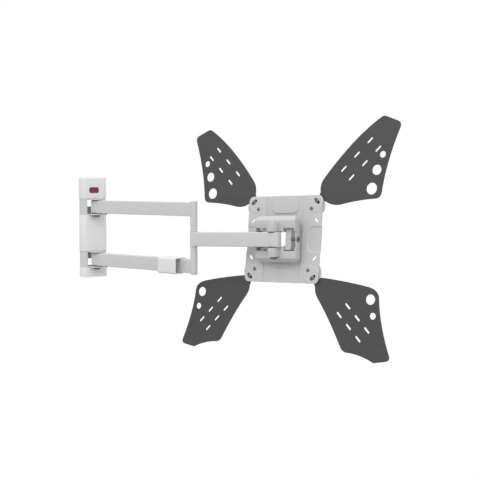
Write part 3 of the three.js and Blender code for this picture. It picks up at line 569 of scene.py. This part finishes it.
# a row of equal fasteners, each turned by its own amount
def fastenerTree():
    tree, keys, given, out = geometryTree("fastenerRow", [
        ("Fastener", "NodeSocketObject"), ("Size", "NodeSocketFloat"),
        ("Spin Seed", "NodeSocketInt"), ("Finish", "NodeSocketMaterial"),
    ])
    link = tree.links.new
    source = addNode(tree, "GeometryNodeObjectInfo", transform_space="ORIGINAL")
    spin = addNode(tree, "FunctionNodeRandomValue", data_type="FLOAT")
    spin.inputs["Max"].default_value = 2 * math.pi
    angles = addNode(tree, "ShaderNodeCombineXYZ")
    rotation = addNode(tree, "FunctionNodeEulerToRotation")
    rows = addNode(tree, "GeometryNodeInstanceOnPoints")
    link(given.outputs["Fastener"], source.inputs["Object"])
    link(given.outputs["Spin Seed"], spin.inputs["Seed"])
    link(next(s for s in spin.outputs if s.enabled and s.type == "VALUE"), angles.inputs["Z"])
    link(angles.outputs[0], rotation.inputs[0])
    link(given.outputs["Geometry"], rows.inputs["Points"])
    link(source.outputs["Geometry"], rows.inputs["Instance"])
    link(rotation.outputs[0], rows.inputs["Rotation"])
    link(given.outputs["Size"], rows.inputs["Scale"])
    closeTree(tree, rows, given, out)
    return tree, keys


# weld bead along a line, its radius rippled at an even pitch
def beadTree():
    tree, keys, given, out = geometryTree("weldBead", [
        ("Radius", "NodeSocketFloat"), ("Ripple", "NodeSocketFloat"),
        ("Pitch", "NodeSocketFloat"), ("Finish", "NodeSocketMaterial"),
    ])
    link = tree.links.new
    toCurve = addNode(tree, "GeometryNodeMeshToCurve")
    resample = addNode(tree, "GeometryNodeResampleCurve", mode="LENGTH")
    along = addNode(tree, "GeometryNodeSplineParameter")
    profile = addNode(tree, "GeometryNodeCurvePrimitiveCircle")
    setInputs(profile, {"Resolution": 10, "Radius": 1.0})
    sweep = addNode(tree, "GeometryNodeCurveToMesh")
    sweep.inputs["Fill Caps"].default_value = True
    link(given.outputs["Geometry"], toCurve.inputs["Mesh"])
    link(toCurve.outputs[0], resample.inputs["Curve"])
    link(mathNode(tree, "DIVIDE", given.outputs["Pitch"], 4), resample.inputs["Length"])
    turns = mathNode(tree, "DIVIDE", along.outputs["Length"], given.outputs["Pitch"])
    wave = mathNode(tree, "SINE", mathNode(tree, "MULTIPLY", turns, 2 * math.pi), 0)
    swell = mathNode(tree, "ADD", mathNode(tree, "MULTIPLY", wave, given.outputs["Ripple"]), 1)
    link(mathNode(tree, "MULTIPLY", swell, given.outputs["Radius"]), sweep.inputs["Scale"])
    link(resample.outputs[0], sweep.inputs["Curve"])
    link(profile.outputs[0], sweep.inputs["Profile Curve"])
    closeTree(tree, sweep, given, out)
    return tree, keys


trees = {"fasteners": fastenerTree(), "beads": beadTree()}


# the mesh that a geometry tree grows from the points or lines given
def grown(mesh, key, **values):
    tree, keys = trees[key]
    obj = shown(mesh)
    modifier = obj.modifiers.new(key, "NODES")
    modifier.node_group = tree
    for label, value in values.items():
        modifier[keys[label.replace("_", " ")]] = value
    return takeResult(obj)


# equal fasteners at points; each stands along Z before turn is applied
def row(fastener, points, turn=Matrix.Identity(4), size=1.0, seed=1):
    source = shown(fastener, "fastener")
    back = turn.inverted()
    places = bpy.data.meshes.new("places")
    places.from_pydata([tuple(back @ Vector(p)) for p in points], [], [])
    mesh = grown(places, "fasteners", Fastener=source, Size=size, Spin_Seed=seed)
    bpy.data.objects.remove(source)
    mesh.transform(turn)
    return mesh


def bead(path, radius=1.1, ripple=0.12, pitch=2.4):
    lines = bpy.data.meshes.new("path")
    lines.from_pydata(path, [(i, i + 1) for i in range(len(path) - 1)], [])
    return grown(lines, "beads", Radius=radius, Ripple=ripple, Pitch=pitch)


# wall bracket

bracket = {
    "width": 81.0, "depth": 33.0, "corner": 15.0, "top": 167.0, "bottom": -133.0, "open": -3.3,
    "coverWall": 1.5, "tubeZ": 79.0, "coverEdge": 24.3, "shoulderY": -43.0,
}


# outside of the bracket's C section, from the wall round to the wall
def bracketPath(inset, steps=14):
    half = bracket["width"] / 2 - inset
    front = -bracket["depth"] + inset
    radius = bracket["corner"] - inset
    return ([(-half, bracket["open"])] + arc(-half + radius, front + radius, radius, 180, 270, steps)
            + arc(half - radius, front + radius, radius, 270, 360, steps) + [(half, bracket["open"])])


# levels are (height, inset) along the cover; the cap closes the last one
def coverShell(levels, capped):
    bm = bmesh.new()
    rows = []
    for height, inset in levels:
        rows.append([bm.verts.new((x, y, height)) for x, y in bracketPath(inset)])
    for near, far in zip(rows, rows[1:]):
        for i in range(len(near) - 1):
            bm.faces.new((near[i], near[i + 1], far[i + 1], far[i]))
    if capped:
        bm.faces.new(rows[-1])
    bmesh.ops.recalc_face_normals(bm, faces=bm.faces)
    middle = sum((v.co for v in bm.verts), Vector()) / len(bm.verts)
    front = min(bm.faces, key=lambda face: face.calc_center_median().y)
    if front.normal.dot(front.calc_center_median() - middle) < 0:
        bmesh.ops.reverse_faces(bm, faces=bm.faces)
    obj = shown(fromBmesh(bm))
    wall = obj.modifiers.new("wall", "SOLIDIFY")
    wall.thickness = bracket["coverWall"]
    wall.offset = -1
    wall.use_even_offset = True
    wall.use_quality_normals = True
    return takeResult(obj)


# heights and insets of an end cover: rolled edge, shallow groove, soft closed end
def endCoverLevels(edge, end):
    up = 1 if end > edge else -1
    return [
        (edge, 0.5), (edge + up * 0.25, 0.15), (edge + up * 0.8, 0.0),
        (end - up * 9.6, 0.0), (end - up * 9.3, 0.35), (end - up * 8.7, 0.35), (end - up * 8.4, 0.0),
        (end - up * 2.4, 0.0), (end - up * 1.2, 0.3), (end - up * 0.45, 0.95), (end, 2.2),
    ]


def makeBracket():
    b = bracket
    upperEdge = b["tubeZ"] + b["coverEdge"]
    lowerEdge = -b["tubeZ"] - b["coverEdge"]
    middleEdge = b["tubeZ"] - b["coverEdge"]
    addPiece(coverShell(endCoverLevels(upperEdge, b["top"]), True), wallPlace, "cover_top")
    addPiece(coverShell([
        (-middleEdge, 0.5), (-middleEdge + 0.25, 0.15), (-middleEdge + 0.8, 0.0),
        (middleEdge - 0.8, 0.0), (middleEdge - 0.25, 0.15), (middleEdge, 0.5),
    ], False), wallPlace, "cover_middle")
    addPiece(coverShell(endCoverLevels(lowerEdge, b["bottom"]), True), wallPlace, "cover_bottom")
    addPiece(softened("channel_bracket", 0.5), inMetres, "channel_bracket")


badge = {"width": 30.0, "height": 17.0, "corner": 5.0, "rim": 1.5, "x": -4.0, "z": 129.0, "back": -33.3}


def makeBadge():
    g = badge
    outline = roundedBox(g["width"], g["height"], g["corner"], g["x"], g["z"], 12)
    narrow, short = g["width"] - 2 * g["rim"], g["height"] - 2 * g["rim"]
    rim = roundedBox(narrow, short, g["corner"] - g["rim"], g["x"], g["z"], 12)
    ground = standing([outline], g["back"] - 1.0, g["back"], 0.3)
    centre = standing([rim], g["back"] - 1.2, g["back"] - 0.9, 0.1)
    addPiece(joined(ground, centre), wallPlace, "badge_inlay")


backing = {
    "width": 75.4, "bottom": -129.0, "top": 163.0, "thick": 3.0, "corner": 4.0, "holeX": 22.0, "hole": 4.2,
    "inset": 14.0, "windowNear": 17.0, "windowFar": 23.0, "windowTall": 20.0,
}


def makeBacking():
    w = backing
    loops = [roundedBox(w["width"], w["top"] - w["bottom"], w["corner"], 0, (w["top"] + w["bottom"]) / 2)]
    for side in (1, -1):
        near = side * bracket["tubeZ"]
        far = near + side * w["windowTall"]
        narrow, wide = w["windowNear"], w["windowFar"]
        loops.append([(-narrow, near), (narrow, near), (wide, far), (-wide, far)])
    for z in (w["bottom"] + w["inset"], w["top"] - w["inset"]):
        for x in (-w["holeX"], w["holeX"]):
            loops.append(circle(w["hole"], x, z))
    addPiece(standing(loops, -w["thick"], 0, 0.4), wallPlace, "wall_plate")


# button head with a hexagon socket, shank down to its chamfered tip
def pivotHeadProfile(under, tip, shank=5.0, head=8.0, tall=3.0):
    top = under + tall
    return [
        (0, tip), (shank - 0.8, tip), (shank, tip + 0.8), (shank, under), (head - 0.3, under),
        (head, under + 0.3), (head, under + 0.9), (head * 0.93, under + 1.7), (head * 0.78, under + 2.4),
        (head * 0.58, top - 0.12), (head * 0.45, top), (3.1, top, 5.2), (3.1, top - 1.6, 5.2), (0, top - 1.9),
    ]


def nutProfile(tall=6.0, across=15.0, bore=5.3):
    corner = across / 2 / math.cos(math.pi / 6)
    rim = across / 2 - 0.3
    return [
        (bore + 0.6, 0), (rim, 0), (rim + 0.6, 0.25, across), (corner, 0.9, across),
        (corner, tall - 0.9, across), (rim + 0.6, tall - 0.25, across), (rim, tall),
        (bore + 0.6, tall), (bore, tall - 0.6), (bore, 0.6),
    ]


# heights are from the middle of a tube; the washers and bolt holes serve the pan bolt too
pivot = {"underHead": 24.3, "tip": -31.8, "nut": -30.3, "washerTop": 19.7, "washerBottom": -20.7, "bore": 5.3,
         "washer": 15.0, "panWasher": 14.0, "washerEdge": 0.25}


def makeShoulder():
    heights = [bracket["tubeZ"], -bracket["tubeZ"]]
    y = bracket["shoulderY"]
    bolt = turned(pivotHeadProfile(pivot["underHead"], pivot["tip"]))
    addPiece(row(bolt, [(0, y, z) for z in heights], seed=3), wallPlace,
             "shoulder_upper_bolt", "shoulder_lower_bolt", name="shoulderBolts")
    nut = turned(nutProfile(), 72, True)
    addPiece(row(nut, [(0, y, z + pivot["nut"]) for z in heights], seed=5), wallPlace,
             "shoulder_upper_nut", "shoulder_lower_nut", name="shoulderNuts")
    washer = softRing(pivot["washer"], pivot["bore"], 0, 1, pivot["washerEdge"])
    places = [(0, y, z + side) for z in heights for side in (pivot["washerTop"], pivot["washerBottom"])]
    addPiece(row(washer, places, seed=7), wallPlace,
             "shoulder_upper_washer_top", "shoulder_upper_washer_bottom",
             "shoulder_lower_washer_top", "shoulder_lower_washer_bottom", name="shoulderWashers")


makeBracket()
makeBadge()
makeBacking()
makeShoulder()
say("wall bracket and shoulder")


# arms

tube = {"height": 38.8, "width": 20.0, "wall": 2.0, "corner": 2.5, "innerCorner": 1.2, "start": 11.2,
        "forearmEnd": 16.2}
arm = {"length": 377.0, "tubeZ": 79.0, "barrel": 10.0, "pin": 6.0, "bore": 6.3, "inner": 34.0, "padY": -38.0,
       "collar": 11.0, "collarLow": -25.5, "collarHigh": 17.5, "bush": 9.7, "padBeforeHead": 38.0}


def boxTube(start, end):
    t = tube
    outer = roundedBox(t["width"], t["height"], t["corner"])
    inner = roundedBox(t["width"] - 2 * t["wall"], t["height"] - 2 * t["wall"], t["innerCorner"])
    return standing([outer, inner], end, start, 0.35)


# cutter for a pivot bolt's hole through a tube
def boltHole(y=0.0):
    deep = tube["height"] / 2 + 5.6
    return moved(softPost(pivot["bore"], -deep, deep, 0.1, 40), Matrix.Translation((0, y, 0)))


padProfile = [  # radius and height of a stop pad, with a screw recess in its middle
    (0, 0), (4.5, 0), (4.5, 1.6), (4.2, 2.15), (3.4, 2.4), (1.7, 2.4), (1.5, 2.1), (1.5, 1.3), (0, 1.1)]


# weld line where a tube's end meets a round barrel
def seamPath(radius, edge, z):
    half = tube["width"] / 2
    reach = math.degrees(math.asin(min(1, half / radius)))
    return [(x, y, z) for x, y in arc(0, edge, radius, 90 - reach, 90 + reach, 16)]


def makeMainArm():
    a = arm
    cutter = softPost(a["barrel"] + 0.05, -30, 30, 0.1, 64)
    elbowCut = moved(cutter, Matrix.Translation((0, -a["length"], 0)))
    flat = tube["height"] / 2
    body = carved(boxTube(tube["start"], -a["length"]), elbowCut, boltHole())
    for label, z in (("upper", a["tubeZ"]), ("lower", -a["tubeZ"])):
        inside = 1 if z < 0 else -1
        seam = bead(seamPath(a["barrel"] + 0.2, -a["length"], inside * (flat - 0.2)), 0.9)
        welded = moved(joined(body, seam), Matrix.Translation((0, 0, z)))
        addPiece(welded, armPlace, label + "_tube")
        plug = label + "_tube_plug"
        addPiece(softened(plug, 0.5), inMetres, plug, slot="clip_plastic")
    pad = turned(padProfile, 32)
    for label, z in (("upper", a["tubeZ"]), ("lower", -a["tubeZ"])):
        addPiece(row(pad, [(0, a["padY"], z - flat - gap)], upsideDown), armPlace, label + "_stop_pad")


# across the arm from the tube's middle: the channel's far side is left, the tube's far side right
clip = {
    "length": 66.0, "fromElbow": 40.0, "left": -32.3, "right": 13.3, "tall": 22.7, "corner": 6.0,
    "inner": -29.8, "room": 10.3, "mouth": -11.4, "lip": 19.7,
}


# C section of the clip: closed round the cable channel, open under the tube's far side
def clipOutline():
    left, right, tall, corner = (clip[key] for key in ("left", "right", "tall", "corner"))
    inner, room, mouth, lip = (clip[key] for key in ("inner", "room", "mouth", "lip"))
    return (arc(left + corner, -tall + corner, corner, 270, 180)
            + arc(left + corner, tall - corner, corner, 180, 90)
            + arc(right - corner, tall - corner, corner, 90, 0) + arc(11.8, mouth + 1.5, 1.5, 0, -90, 6)
            + [(room, mouth)] + arc(room - 2, lip - 2, 2, 0, 90, 6) + arc(inner + 3, lip - 3, 3, 90, 180)
            + arc(inner + 3, -lip + 3, 3, 180, 270) + [(0, -lip)] + arc(-1.5, -tall + 1.5, 1.5, 0, -90, 6))


def makeClip():
    end = clip["fromElbow"] - arm["length"]
    shell = standing([clipOutline()], end, end + clip["length"], 0.5)
    place = armPlace @ Matrix.Translation((0, 0, -arm["tubeZ"]))
    addPiece(shell, place, "cable_clip")


def makeElbow():
    a = arm
    top = a["tubeZ"] + tube["height"] / 2
    for node, low, high in (
            ("elbow_barrel_upper", a["inner"], top),
            ("elbow_barrel_lower", -top, -a["inner"])):
        addPiece(softRing(a["barrel"], a["bore"], low, high, 0.45, 64), elbowPlace, node)
    addPiece(softPost(a["pin"], -top, top, 0.6), elbowPlace, "elbow_pin")
    for node, low, high in (
            ("elbow_bush_upper", a["collarHigh"] + gap, a["inner"] - gap),
            ("elbow_bush_lower", gap - a["inner"], a["collarLow"] - gap)):
        addPiece(softRing(a["bush"], a["bore"], low, high, 0.4, 64), elbowPlace, node)
    cap = turned([
        (0, 0), (9.9, 0), (10, 0.15), (10, 2.7), (9.7, 3.3), (9.0, 3.8), (7.8, 4), (4.2, 4), (3.8, 3.7),
        (0, 3.7)], 64)
    addPiece(row(cap, [(0, 0, top + gap)]), elbowPlace, "elbow_cap_top", slot="clip_plastic")
    addPiece(row(cap, [(0, 0, -top - gap)], upsideDown),
             elbowPlace, "elbow_cap_bottom", slot="clip_plastic")


def makeForearm():
    flat = tube["height"] / 2
    collar = softRing(arm["collar"], arm["bore"], arm["collarLow"], arm["collarHigh"], 0.6, 64)
    addPiece(collar, elbowPlace, "forearm_collar")
    collarCut = softPost(arm["collar"] + gap + 0.05, -30, 30, 0.1, 64)
    body = carved(boxTube(0, -forearmLength - tube["forearmEnd"]), collarCut, boltHole(-forearmLength))
    addPiece(body, forearmPlace, "forearm_tube")
    addPiece(softened("forearm_plug", 0.5), inMetres, "forearm_plug")
    pad = turned(padProfile, 32)
    padY = -forearmLength + arm["padBeforeHead"]
    addPiece(row(pad, [(0, padY, flat + gap)]), forearmPlace, "forearm_pad_top")
    addPiece(row(pad, [(0, padY, -flat - gap)], upsideDown),
             forearmPlace, "forearm_pad_bottom")


makeMainArm()
makeClip()
makeElbow()
makeForearm()
say("arms, clip and elbow")


# head

# lugs and nut are along the pan bolt; ring heights are toward the screen from the tilt axis
head = {"lugTop": 45.0, "panTip": 7.8, "panNut": 6.3, "tiltY": -19.5, "tiltStart": 41.0, "tiltHead": 63.8,
        "ringBack": -26.4, "ringFront": -32.0, "ringBore": 20.0, "ring": 25.0, "flange": 29.0}


def makeHead():
    h = head
    addPiece(softened("head_yoke", 0.8, 3), inMetres, "head_yoke")
    lugTop = h["lugTop"]
    bolt = turned(pivotHeadProfile(lugTop + gap, -lugTop - h["panTip"]))
    addPiece(row(bolt, [(0, 0, 0)], seed=9), headPlace, "pan_bolt")
    nut = turned(nutProfile(), 72, True)
    addPiece(row(nut, [(0, 0, -lugTop - h["panNut"])], seed=2), headPlace, "pan_nut")
    washer = softRing(pivot["panWasher"], pivot["bore"], 0, 1, pivot["washerEdge"])
    for node, z in (("pan_washer_top", pivot["washerTop"]), ("pan_washer_bottom", pivot["washerBottom"])):
        addPiece(row(washer, [(0, 0, z)]), headPlace, node)
    start, under = h["tiltStart"], h["tiltHead"]
    tiltProfile = [
        (0, start), (3.4, start), (4, start + 0.6), (4, under), (6.8, under), (7, under + 0.2),
        (7, under + 1.1), (6.4, under + 2.2), (5.2, under + 2.85), (4.2, under + 3), (2.6, under + 3, 4.4),
        (2.6, under + 1.6, 4.4), (0, under + 1.4),
    ]
    for node, turn, seed in (("tilt_bolt_right", pointAlongX, 4), ("tilt_bolt_left", pointAgainstX, 6)):
        addPiece(row(turned(tiltProfile), [(0, h["tiltY"], 0)], turn, seed=seed), headPlace, node,
                 slot="dark_steel")
    addPiece(softened("tilt_carrier", 0.5), inMetres, "tilt_carrier")
    bore, rim, flange = h["ringBore"], h["ring"], h["flange"]
    back, front = h["ringBack"], h["ringFront"]
    ring = turned([
        (bore + 0.4, front), (rim - 0.4, front), (rim, front + 0.4), (rim, back), (flange - 0.4, back),
        (flange, back + 0.4), (flange, back + 1.4), (flange - 0.6, back + 2.0), (bore + 0.6, back + 2.0),
        (bore, back + 1.4), (bore, front + 0.4)], 72, True)
    addPiece(ring, screenPlace @ pointAlongY, "level_ring")


# screen plate

plate = {
    "width": 233.0, "height": 230.0, "thick": 2.5, "corner": 14.0, "back": -26.5,
    "bandHalf": 60.0, "bandSlope": 2.8, "bandDeep": 3.4, "cell": 1.4,
    "lobeX": 94.0, "lobeZ": 93.0, "lobeRadius": 23.0, "lobeRise": 1.2, "lobeSlope": 3.0,
    "ringHole": 25.3, "slotX": 100.0, "slotZ": 49.5, "slotLong": 14.0, "slotWide": 6.0, "over": 2.0,
}
corners = {"top_right": (1, 1), "top_left": (-1, 1), "bottom_right": (1, -1), "bottom_left": (-1, -1)}
swivel = {
    "x": 84.5, "z": 80.5, "pitch": 100.0, "range": 13.0, "boltHole": 4.3, "rivetHole": 3.3, "neck": 19.0,
    "disc": 25.0, "discX": 97.0, "discZ": 86.0, "discThick": 3.2, "adapterThick": 3.0,
    "slotLong": 20.0, "slotWide": 5.5,
}
swivel["reach"] = math.hypot(swivel["pitch"] - swivel["x"], swivel["pitch"] - swivel["z"])
swivel["middle"] = math.degrees(math.atan2(swivel["pitch"] - swivel["z"], swivel["pitch"] - swivel["x"]))


def smooth(low, high, value):
    t = min(1.0, max(0.0, (value - low) / (high - low)))
    return t * t * (3 - 2 * t)


# how far a point lies outside a rounded rectangle, negative inside
def boxDistance(x, z, halfX, halfZ, radius):
    dx, dz = abs(x) - halfX + radius, abs(z) - halfZ + radius
    outside = math.hypot(max(dx, 0), max(dz, 0))
    return outside + min(max(dx, dz), 0) - radius


pressings = [  # centre x, z, half sizes, corner radius, height toward the arm, wall width
    (0, 103, 43, 35, 18, 2.4, 2.6),
    (0, -112, 40, 35, 16, 2.4, 2.6),
    (112, 0, 34, 33, 16, -2.4, 2.6),
    (-112, 0, 34, 33, 16, -2.4, 2.6),
]


def pressHeight(x, z):
    p = plate
    band = 1 - smooth(p["bandHalf"] - p["bandSlope"], p["bandHalf"], abs(x))
    height = -p["bandDeep"] * band
    for cx, cz, halfX, halfZ, radius, rise, wall in pressings:
        height += rise * (1 - smooth(-wall / 2, wall / 2, boxDistance(x - cx, z - cz, halfX, halfZ, radius)))
    lobe = math.hypot(abs(x) - p["lobeX"], abs(z) - p["lobeZ"])
    slope = p["lobeSlope"] / 2
    height += p["lobeRise"] * (1 - smooth(p["lobeRadius"] - slope, p["lobeRadius"] + slope, lobe))
    return height


def prism(loop, low, high):
    bm = bmesh.new()
    bottom = [bm.verts.new((x, low, z)) for x, z in tidied(loop)]
    top = [bm.verts.new((v.co.x, high, v.co.z)) for v in bottom]
    bm.faces.new(bottom)
    bm.faces.new(top[::-1])
    for i in range(len(bottom)):
        j = (i + 1) % len(bottom)
        bm.faces.new((bottom[i], bottom[j], top[j], top[i]))
    bmesh.ops.recalc_face_normals(bm, faces=bm.faces)
    return fromBmesh(bm)


# arc slot and swivel hole at one corner
def cornerLoops(signX, signZ):
    s = swivel
    slot = arcSlot(s["x"], s["z"], s["reach"], s["middle"], s["range"], s["boltHole"])
    hole = circle(s["rivetHole"], s["x"] * signX, s["z"] * signZ, 24)
    return [[(x * signX, z * signZ) for x, z in slot], hole]


def makePlate():
    p = plate
    countX, countZ = round(p["width"] / p["cell"]), round(p["height"] / p["cell"])
    bm = bmesh.new()
    grid = []
    for j in range(countZ + 1):
        z = (j / countZ - 0.5) * (p["height"] + p["over"])  # larger than the outline that trims it
        line = []
        for i in range(countX + 1):
            x = (i / countX - 0.5) * (p["width"] + p["over"])
            line.append(bm.verts.new((x, p["back"] + pressHeight(x, z), z)))
        grid.append(line)
    for j in range(countZ):
        for i in range(countX):
            bm.faces.new((grid[j][i], grid[j + 1][i], grid[j + 1][i + 1], grid[j][i + 1]))
    blank = shown(fromBmesh(bm))
    wall = blank.modifiers.new("wall", "SOLIDIFY")
    wall.thickness = p["thick"]
    wall.offset = -1
    outline = roundedBox(p["width"], p["height"], p["corner"], steps=14)
    loops = [circle(p["ringHole"], steps=64)]
    for signX, signZ in corners.values():
        loops += cornerLoops(signX, signZ)
        loops.append(straightSlot(p["slotLong"], p["slotWide"], signX * p["slotX"], signZ * p["slotZ"],
                                  -45 * signX * signZ))
    trim = shown(prism(outline, p["back"] - 12, p["back"] + 8), "outline")  # well clear of both faces
    holes = shown(joined(*[prism(loop, p["back"] - 13, p["back"] + 9) for loop in loops]), "holes")
    addBoolean(blank, "trim", "INTERSECT", trim)
    addBoolean(blank, "cut", "DIFFERENCE", holes)
    pressed = takeResult(blank)
    for tool in (trim, holes):
        bpy.data.objects.remove(tool)
    addPiece(pressed, screenPlace, "screen_plate", smooth=35)


adapterHoles = {
    "upper": [(278.6, 214, 8.5), (264.2, 175.6, 13), (252.6, 128.6, 15)],
    "lower": [(266, -148.1, 13), (274.8, -188.6, 8.5)],
}
adapterSlots = {  # first slot, step along the row, step between rows
    "upper": ((168.9, 182), (36, 35), (24, -23)),
    "lower": ((203, -167.5), (28.6, -28.4), (-23.5, -23)),
}


# round end of an adapter behind the plate, clockwise
def neckArc(start, end):
    side = math.copysign(1, start[1])
    x, z = (swivel["x"] + swivel["pitch"]) / 2, side * (swivel["z"] + swivel["pitch"]) / 2
    first = math.degrees(math.atan2(start[1] - z, start[0] - x))
    last = math.degrees(math.atan2(end[1] - z, end[0] - x))
    while last > first:
        last -= 360
    return [start] + arc(x, z, swivel["neck"], first, last, 24) + [end]


def upperOutline():
    line = [(268, 308)]
    line += bend(line[-1], (276, 314), (285, 310), 6)
    line += [(316, 297)]
    line += bend(line[-1], (327, 292), (323, 280), 8)
    line += bend(line[-1], (288, 190), (281, 120), 20)
    line += bend(line[-1], (279, 104), (264, 103), 8)
    line += bend(line[-1], (215, 101), (167, 90.2), 12)
    line += bend(line[-1], (143, 86), (124, 97), 10)
    line += neckArc((118, 99), (104, 124))
    line += bend(line[-1], (101, 140), (110, 156), 8)
    line += bend(line[-1], (192, 260), (268, 308), 22)
    return line


def lowerOutline():
    line = [(121, -98)]
    line += bend(line[-1], (190, -104), (250, -115.5), 12)
    line += bend(line[-1], (286, -121), (289, -143), 10)
    line += bend(line[-1], (293, -205), (324, -282), 18)
    line += bend(line[-1], (328, -294), (316, -297), 8)
    line += [(287, -302)]
    line += bend(line[-1], (281, -303), (275, -299), 6)
    line += bend(line[-1], (240, -284), (205, -283), 10)
    line += bend(line[-1], (193, -281), (187, -269), 8)
    line += bend(line[-1], (150, -200), (113, -151), 16)
    line += bend(line[-1], (104, -138), (104, -124), 6)
    line += neckArc((104, -124), (118, -99))
    return line


def makeCorners():
    p, s = plate, swivel
    discBack = p["back"] - p["thick"] - gap
    adapterBack = discBack - s["discThick"] - gap
    front = adapterBack - s["adapterThick"] - gap
    under = p["back"] + p["lobeRise"] + gap
    bolt = turned([
        (0, front - 2.2), (4.8, front - 2.2), (5.4, front - 1.6), (5.4, front), (4, front), (4, under),
        (5.1, under), (5.4, under + 0.3), (5.4, under + 0.9), (4.7, under + 1.7), (3.8, under + 2.1),
        (2.7, under + 2.1, 4.2), (2.7, under + 0.9, 4.2), (0, under + 0.6)], 36)
    rivet = turned([
        (0, front - 2.2), (4.2, front - 2.2), (4.9, front - 1.4), (5, front), (3, front), (3, under - 0.4),
        (4.9, under - 0.4), (5, under), (4.7, under + 0.7), (3.8, under + 1.3), (2.2, under + 1.7),
        (0, under + 1.8)], 36)
    for index, (label, (signX, signZ)) in enumerate(corners.items()):
        half = "upper" if signZ > 0 else "lower"
        loops = [upperOutline() if signZ > 0 else lowerOutline()]
        loops += [circle(radius, x, z) for x, z, radius in adapterHoles[half]]
        loops.append(circle(s["boltHole"], s["pitch"], signZ * s["pitch"], 24))
        loops.append(circle(s["rivetHole"], s["x"], signZ * s["z"], 24))
        (x, z), (stepX, stepZ), (rowX, rowZ) = adapterSlots[half]
        lean = math.degrees(math.atan2(stepZ, stepX))
        for line in range(2):
            for step in range(3):
                slotX, slotZ = x + stepX * step + rowX * line, z + stepZ * step + rowZ * line
                loops.append(straightSlot(s["slotLong"], s["slotWide"], slotX, slotZ, lean))
        if signX < 0:
            loops = [mirrored(loop) for loop in loops]
        sheet = standing(loops, adapterBack - s["adapterThick"], adapterBack, 0.5)
        addPiece(sheet, screenPlace, "adapter_" + label)
        disc = [circle(s["disc"], signX * s["discX"], signZ * s["discZ"], 72)] + cornerLoops(signX, signZ)
        washer = standing(disc, discBack - s["discThick"], discBack, 0.4)
        addPiece(washer, screenPlace, "swivel_disc_" + label)
        place = (signX * s["pitch"], 0, signZ * s["pitch"])
        # painted shade: the corner bolts are bright steel, but they take the dark steel finish to stand in for the
        # shadow in the slots they sit in
        addPiece(row(bolt, [place], pointAlongY, seed=20 + index), screenPlace, "corner_bolt_" + label,
                 slot="dark_steel")
    rivets = [(signX * s["x"], 0, signZ * s["z"]) for signX, signZ in corners.values()]
    addPiece(row(rivet, rivets, pointAlongY, seed=31), screenPlace,
             *["swivel_rivet_" + label for label in corners], name="swivelRivets")


makeHead()
makePlate()
makeCorners()
say("head, screen plate and adapters")


# stage: floor, light and camera

stage = {
    "floorZ": -0.95, "floorHalf": 12.0, "skyUp": 1.36, "skyLevel": 0.82, "skyDown": 0.3,
    "camera": (-1.1408, -2.6414, 0.1667), "heading": -32.43, "pitch": -3.83, "lens": 70.0, "sensor": 36.0,
    "key": 19.0, "keySize": 1.6, "keyFrom": (-1.6, -1.2, 1.9),
}


# one shader lights the pieces, another is what the camera sees
def lightAndView(tree, light, view):
    seen = addNode(tree, "ShaderNodeLightPath")
    mix = addNode(tree, "ShaderNodeMixShader")
    tree.links.new(seen.outputs["Is Camera Ray"], mix.inputs[0])
    tree.links.new(light.outputs[0], mix.inputs[1])
    tree.links.new(view.outputs[0], mix.inputs[2])
    return mix.outputs[0]


def makeFloor():
    half = stage["floorHalf"]
    bm = bmesh.new()
    for x, y in ((-half, -half), (half, -half), (half, half), (-half, half)):
        bm.verts.new((x, y, stage["floorZ"]))
    bm.faces.new(list(bm.verts))
    floor = shown(fromBmesh(bm, "floor"), "floor")
    material = bpy.data.materials.new("paleFloor")
    material.use_nodes = True
    tree = material.node_tree
    matte = tree.nodes["Principled BSDF"]
    setInputs(matte, {"Base Color": (0.45, 0.45, 0.45, 1), "Roughness": 0.9})
    white = addNode(tree, "ShaderNodeEmission")
    white.inputs["Strength"].default_value = 1.0
    tree.links.new(lightAndView(tree, matte, white), tree.nodes["Material Output"].inputs[0])
    floor.data.materials.append(material)


# white to the eye; for light, brighter above than below
def makeSky():
    world = bpy.data.worlds.new("studio")
    bpy.context.scene.world = world
    world.use_nodes = True
    tree = world.node_tree
    tree.nodes.clear()
    place = addNode(tree, "ShaderNodeTexCoord")
    split = addNode(tree, "ShaderNodeSeparateXYZ")
    tree.links.new(place.outputs["Generated"], split.inputs[0])
    ramp = addNode(tree, "ShaderNodeValToRGB")
    ends = ramp.color_ramp.elements
    ends[0].color = (stage["skyDown"],) * 3 + (1,)
    ends[1].color = (stage["skyUp"],) * 3 + (1,)
    level = ends.new(0.5)
    level.color = (stage["skyLevel"],) * 3 + (1,)
    rise = mathNode(tree, "MULTIPLY", split.outputs["Z"], 0.5)
    tree.links.new(mathNode(tree, "ADD", rise, 0.5), ramp.inputs[0])
    light = addNode(tree, "ShaderNodeBackground")
    tree.links.new(ramp.outputs[0], light.inputs["Color"])
    plain = addNode(tree, "ShaderNodeBackground")
    plain.inputs["Color"].default_value = (1, 1, 1, 1)
    out = addNode(tree, "ShaderNodeOutputWorld")
    tree.links.new(lightAndView(tree, light, plain), out.inputs[0])


def addLamp(name, place, target, size, power):
    lamp = bpy.data.lights.new(name, "AREA")
    lamp.size = size
    lamp.energy = power
    obj = bpy.data.objects.new(name, lamp)
    obj.location = place
    obj.rotation_euler = (Vector(target) - Vector(place)).to_track_quat("-Z", "Y").to_euler()
    bpy.context.scene.collection.objects.link(obj)


def makeStage():
    makeFloor()
    makeSky()
    low, high = cadBounds
    centre = (low + high) / 2
    addLamp("keyLight", centre + Vector(stage["keyFrom"]), centre, stage["keySize"], stage["key"])
    camera = bpy.data.cameras.new("camera")
    camera.lens = stage["lens"]
    camera.sensor_width = stage["sensor"]
    view = bpy.data.objects.new("camera", camera)
    view.location = stage["camera"]
    view.rotation_euler = (math.radians(90 + stage["pitch"]), 0, math.radians(stage["heading"]))
    bpy.context.scene.collection.objects.link(view)
    bpy.context.scene.camera = view
    bpy.context.scene.view_settings.view_transform = "Standard"


makeStage()
say("stage ready")
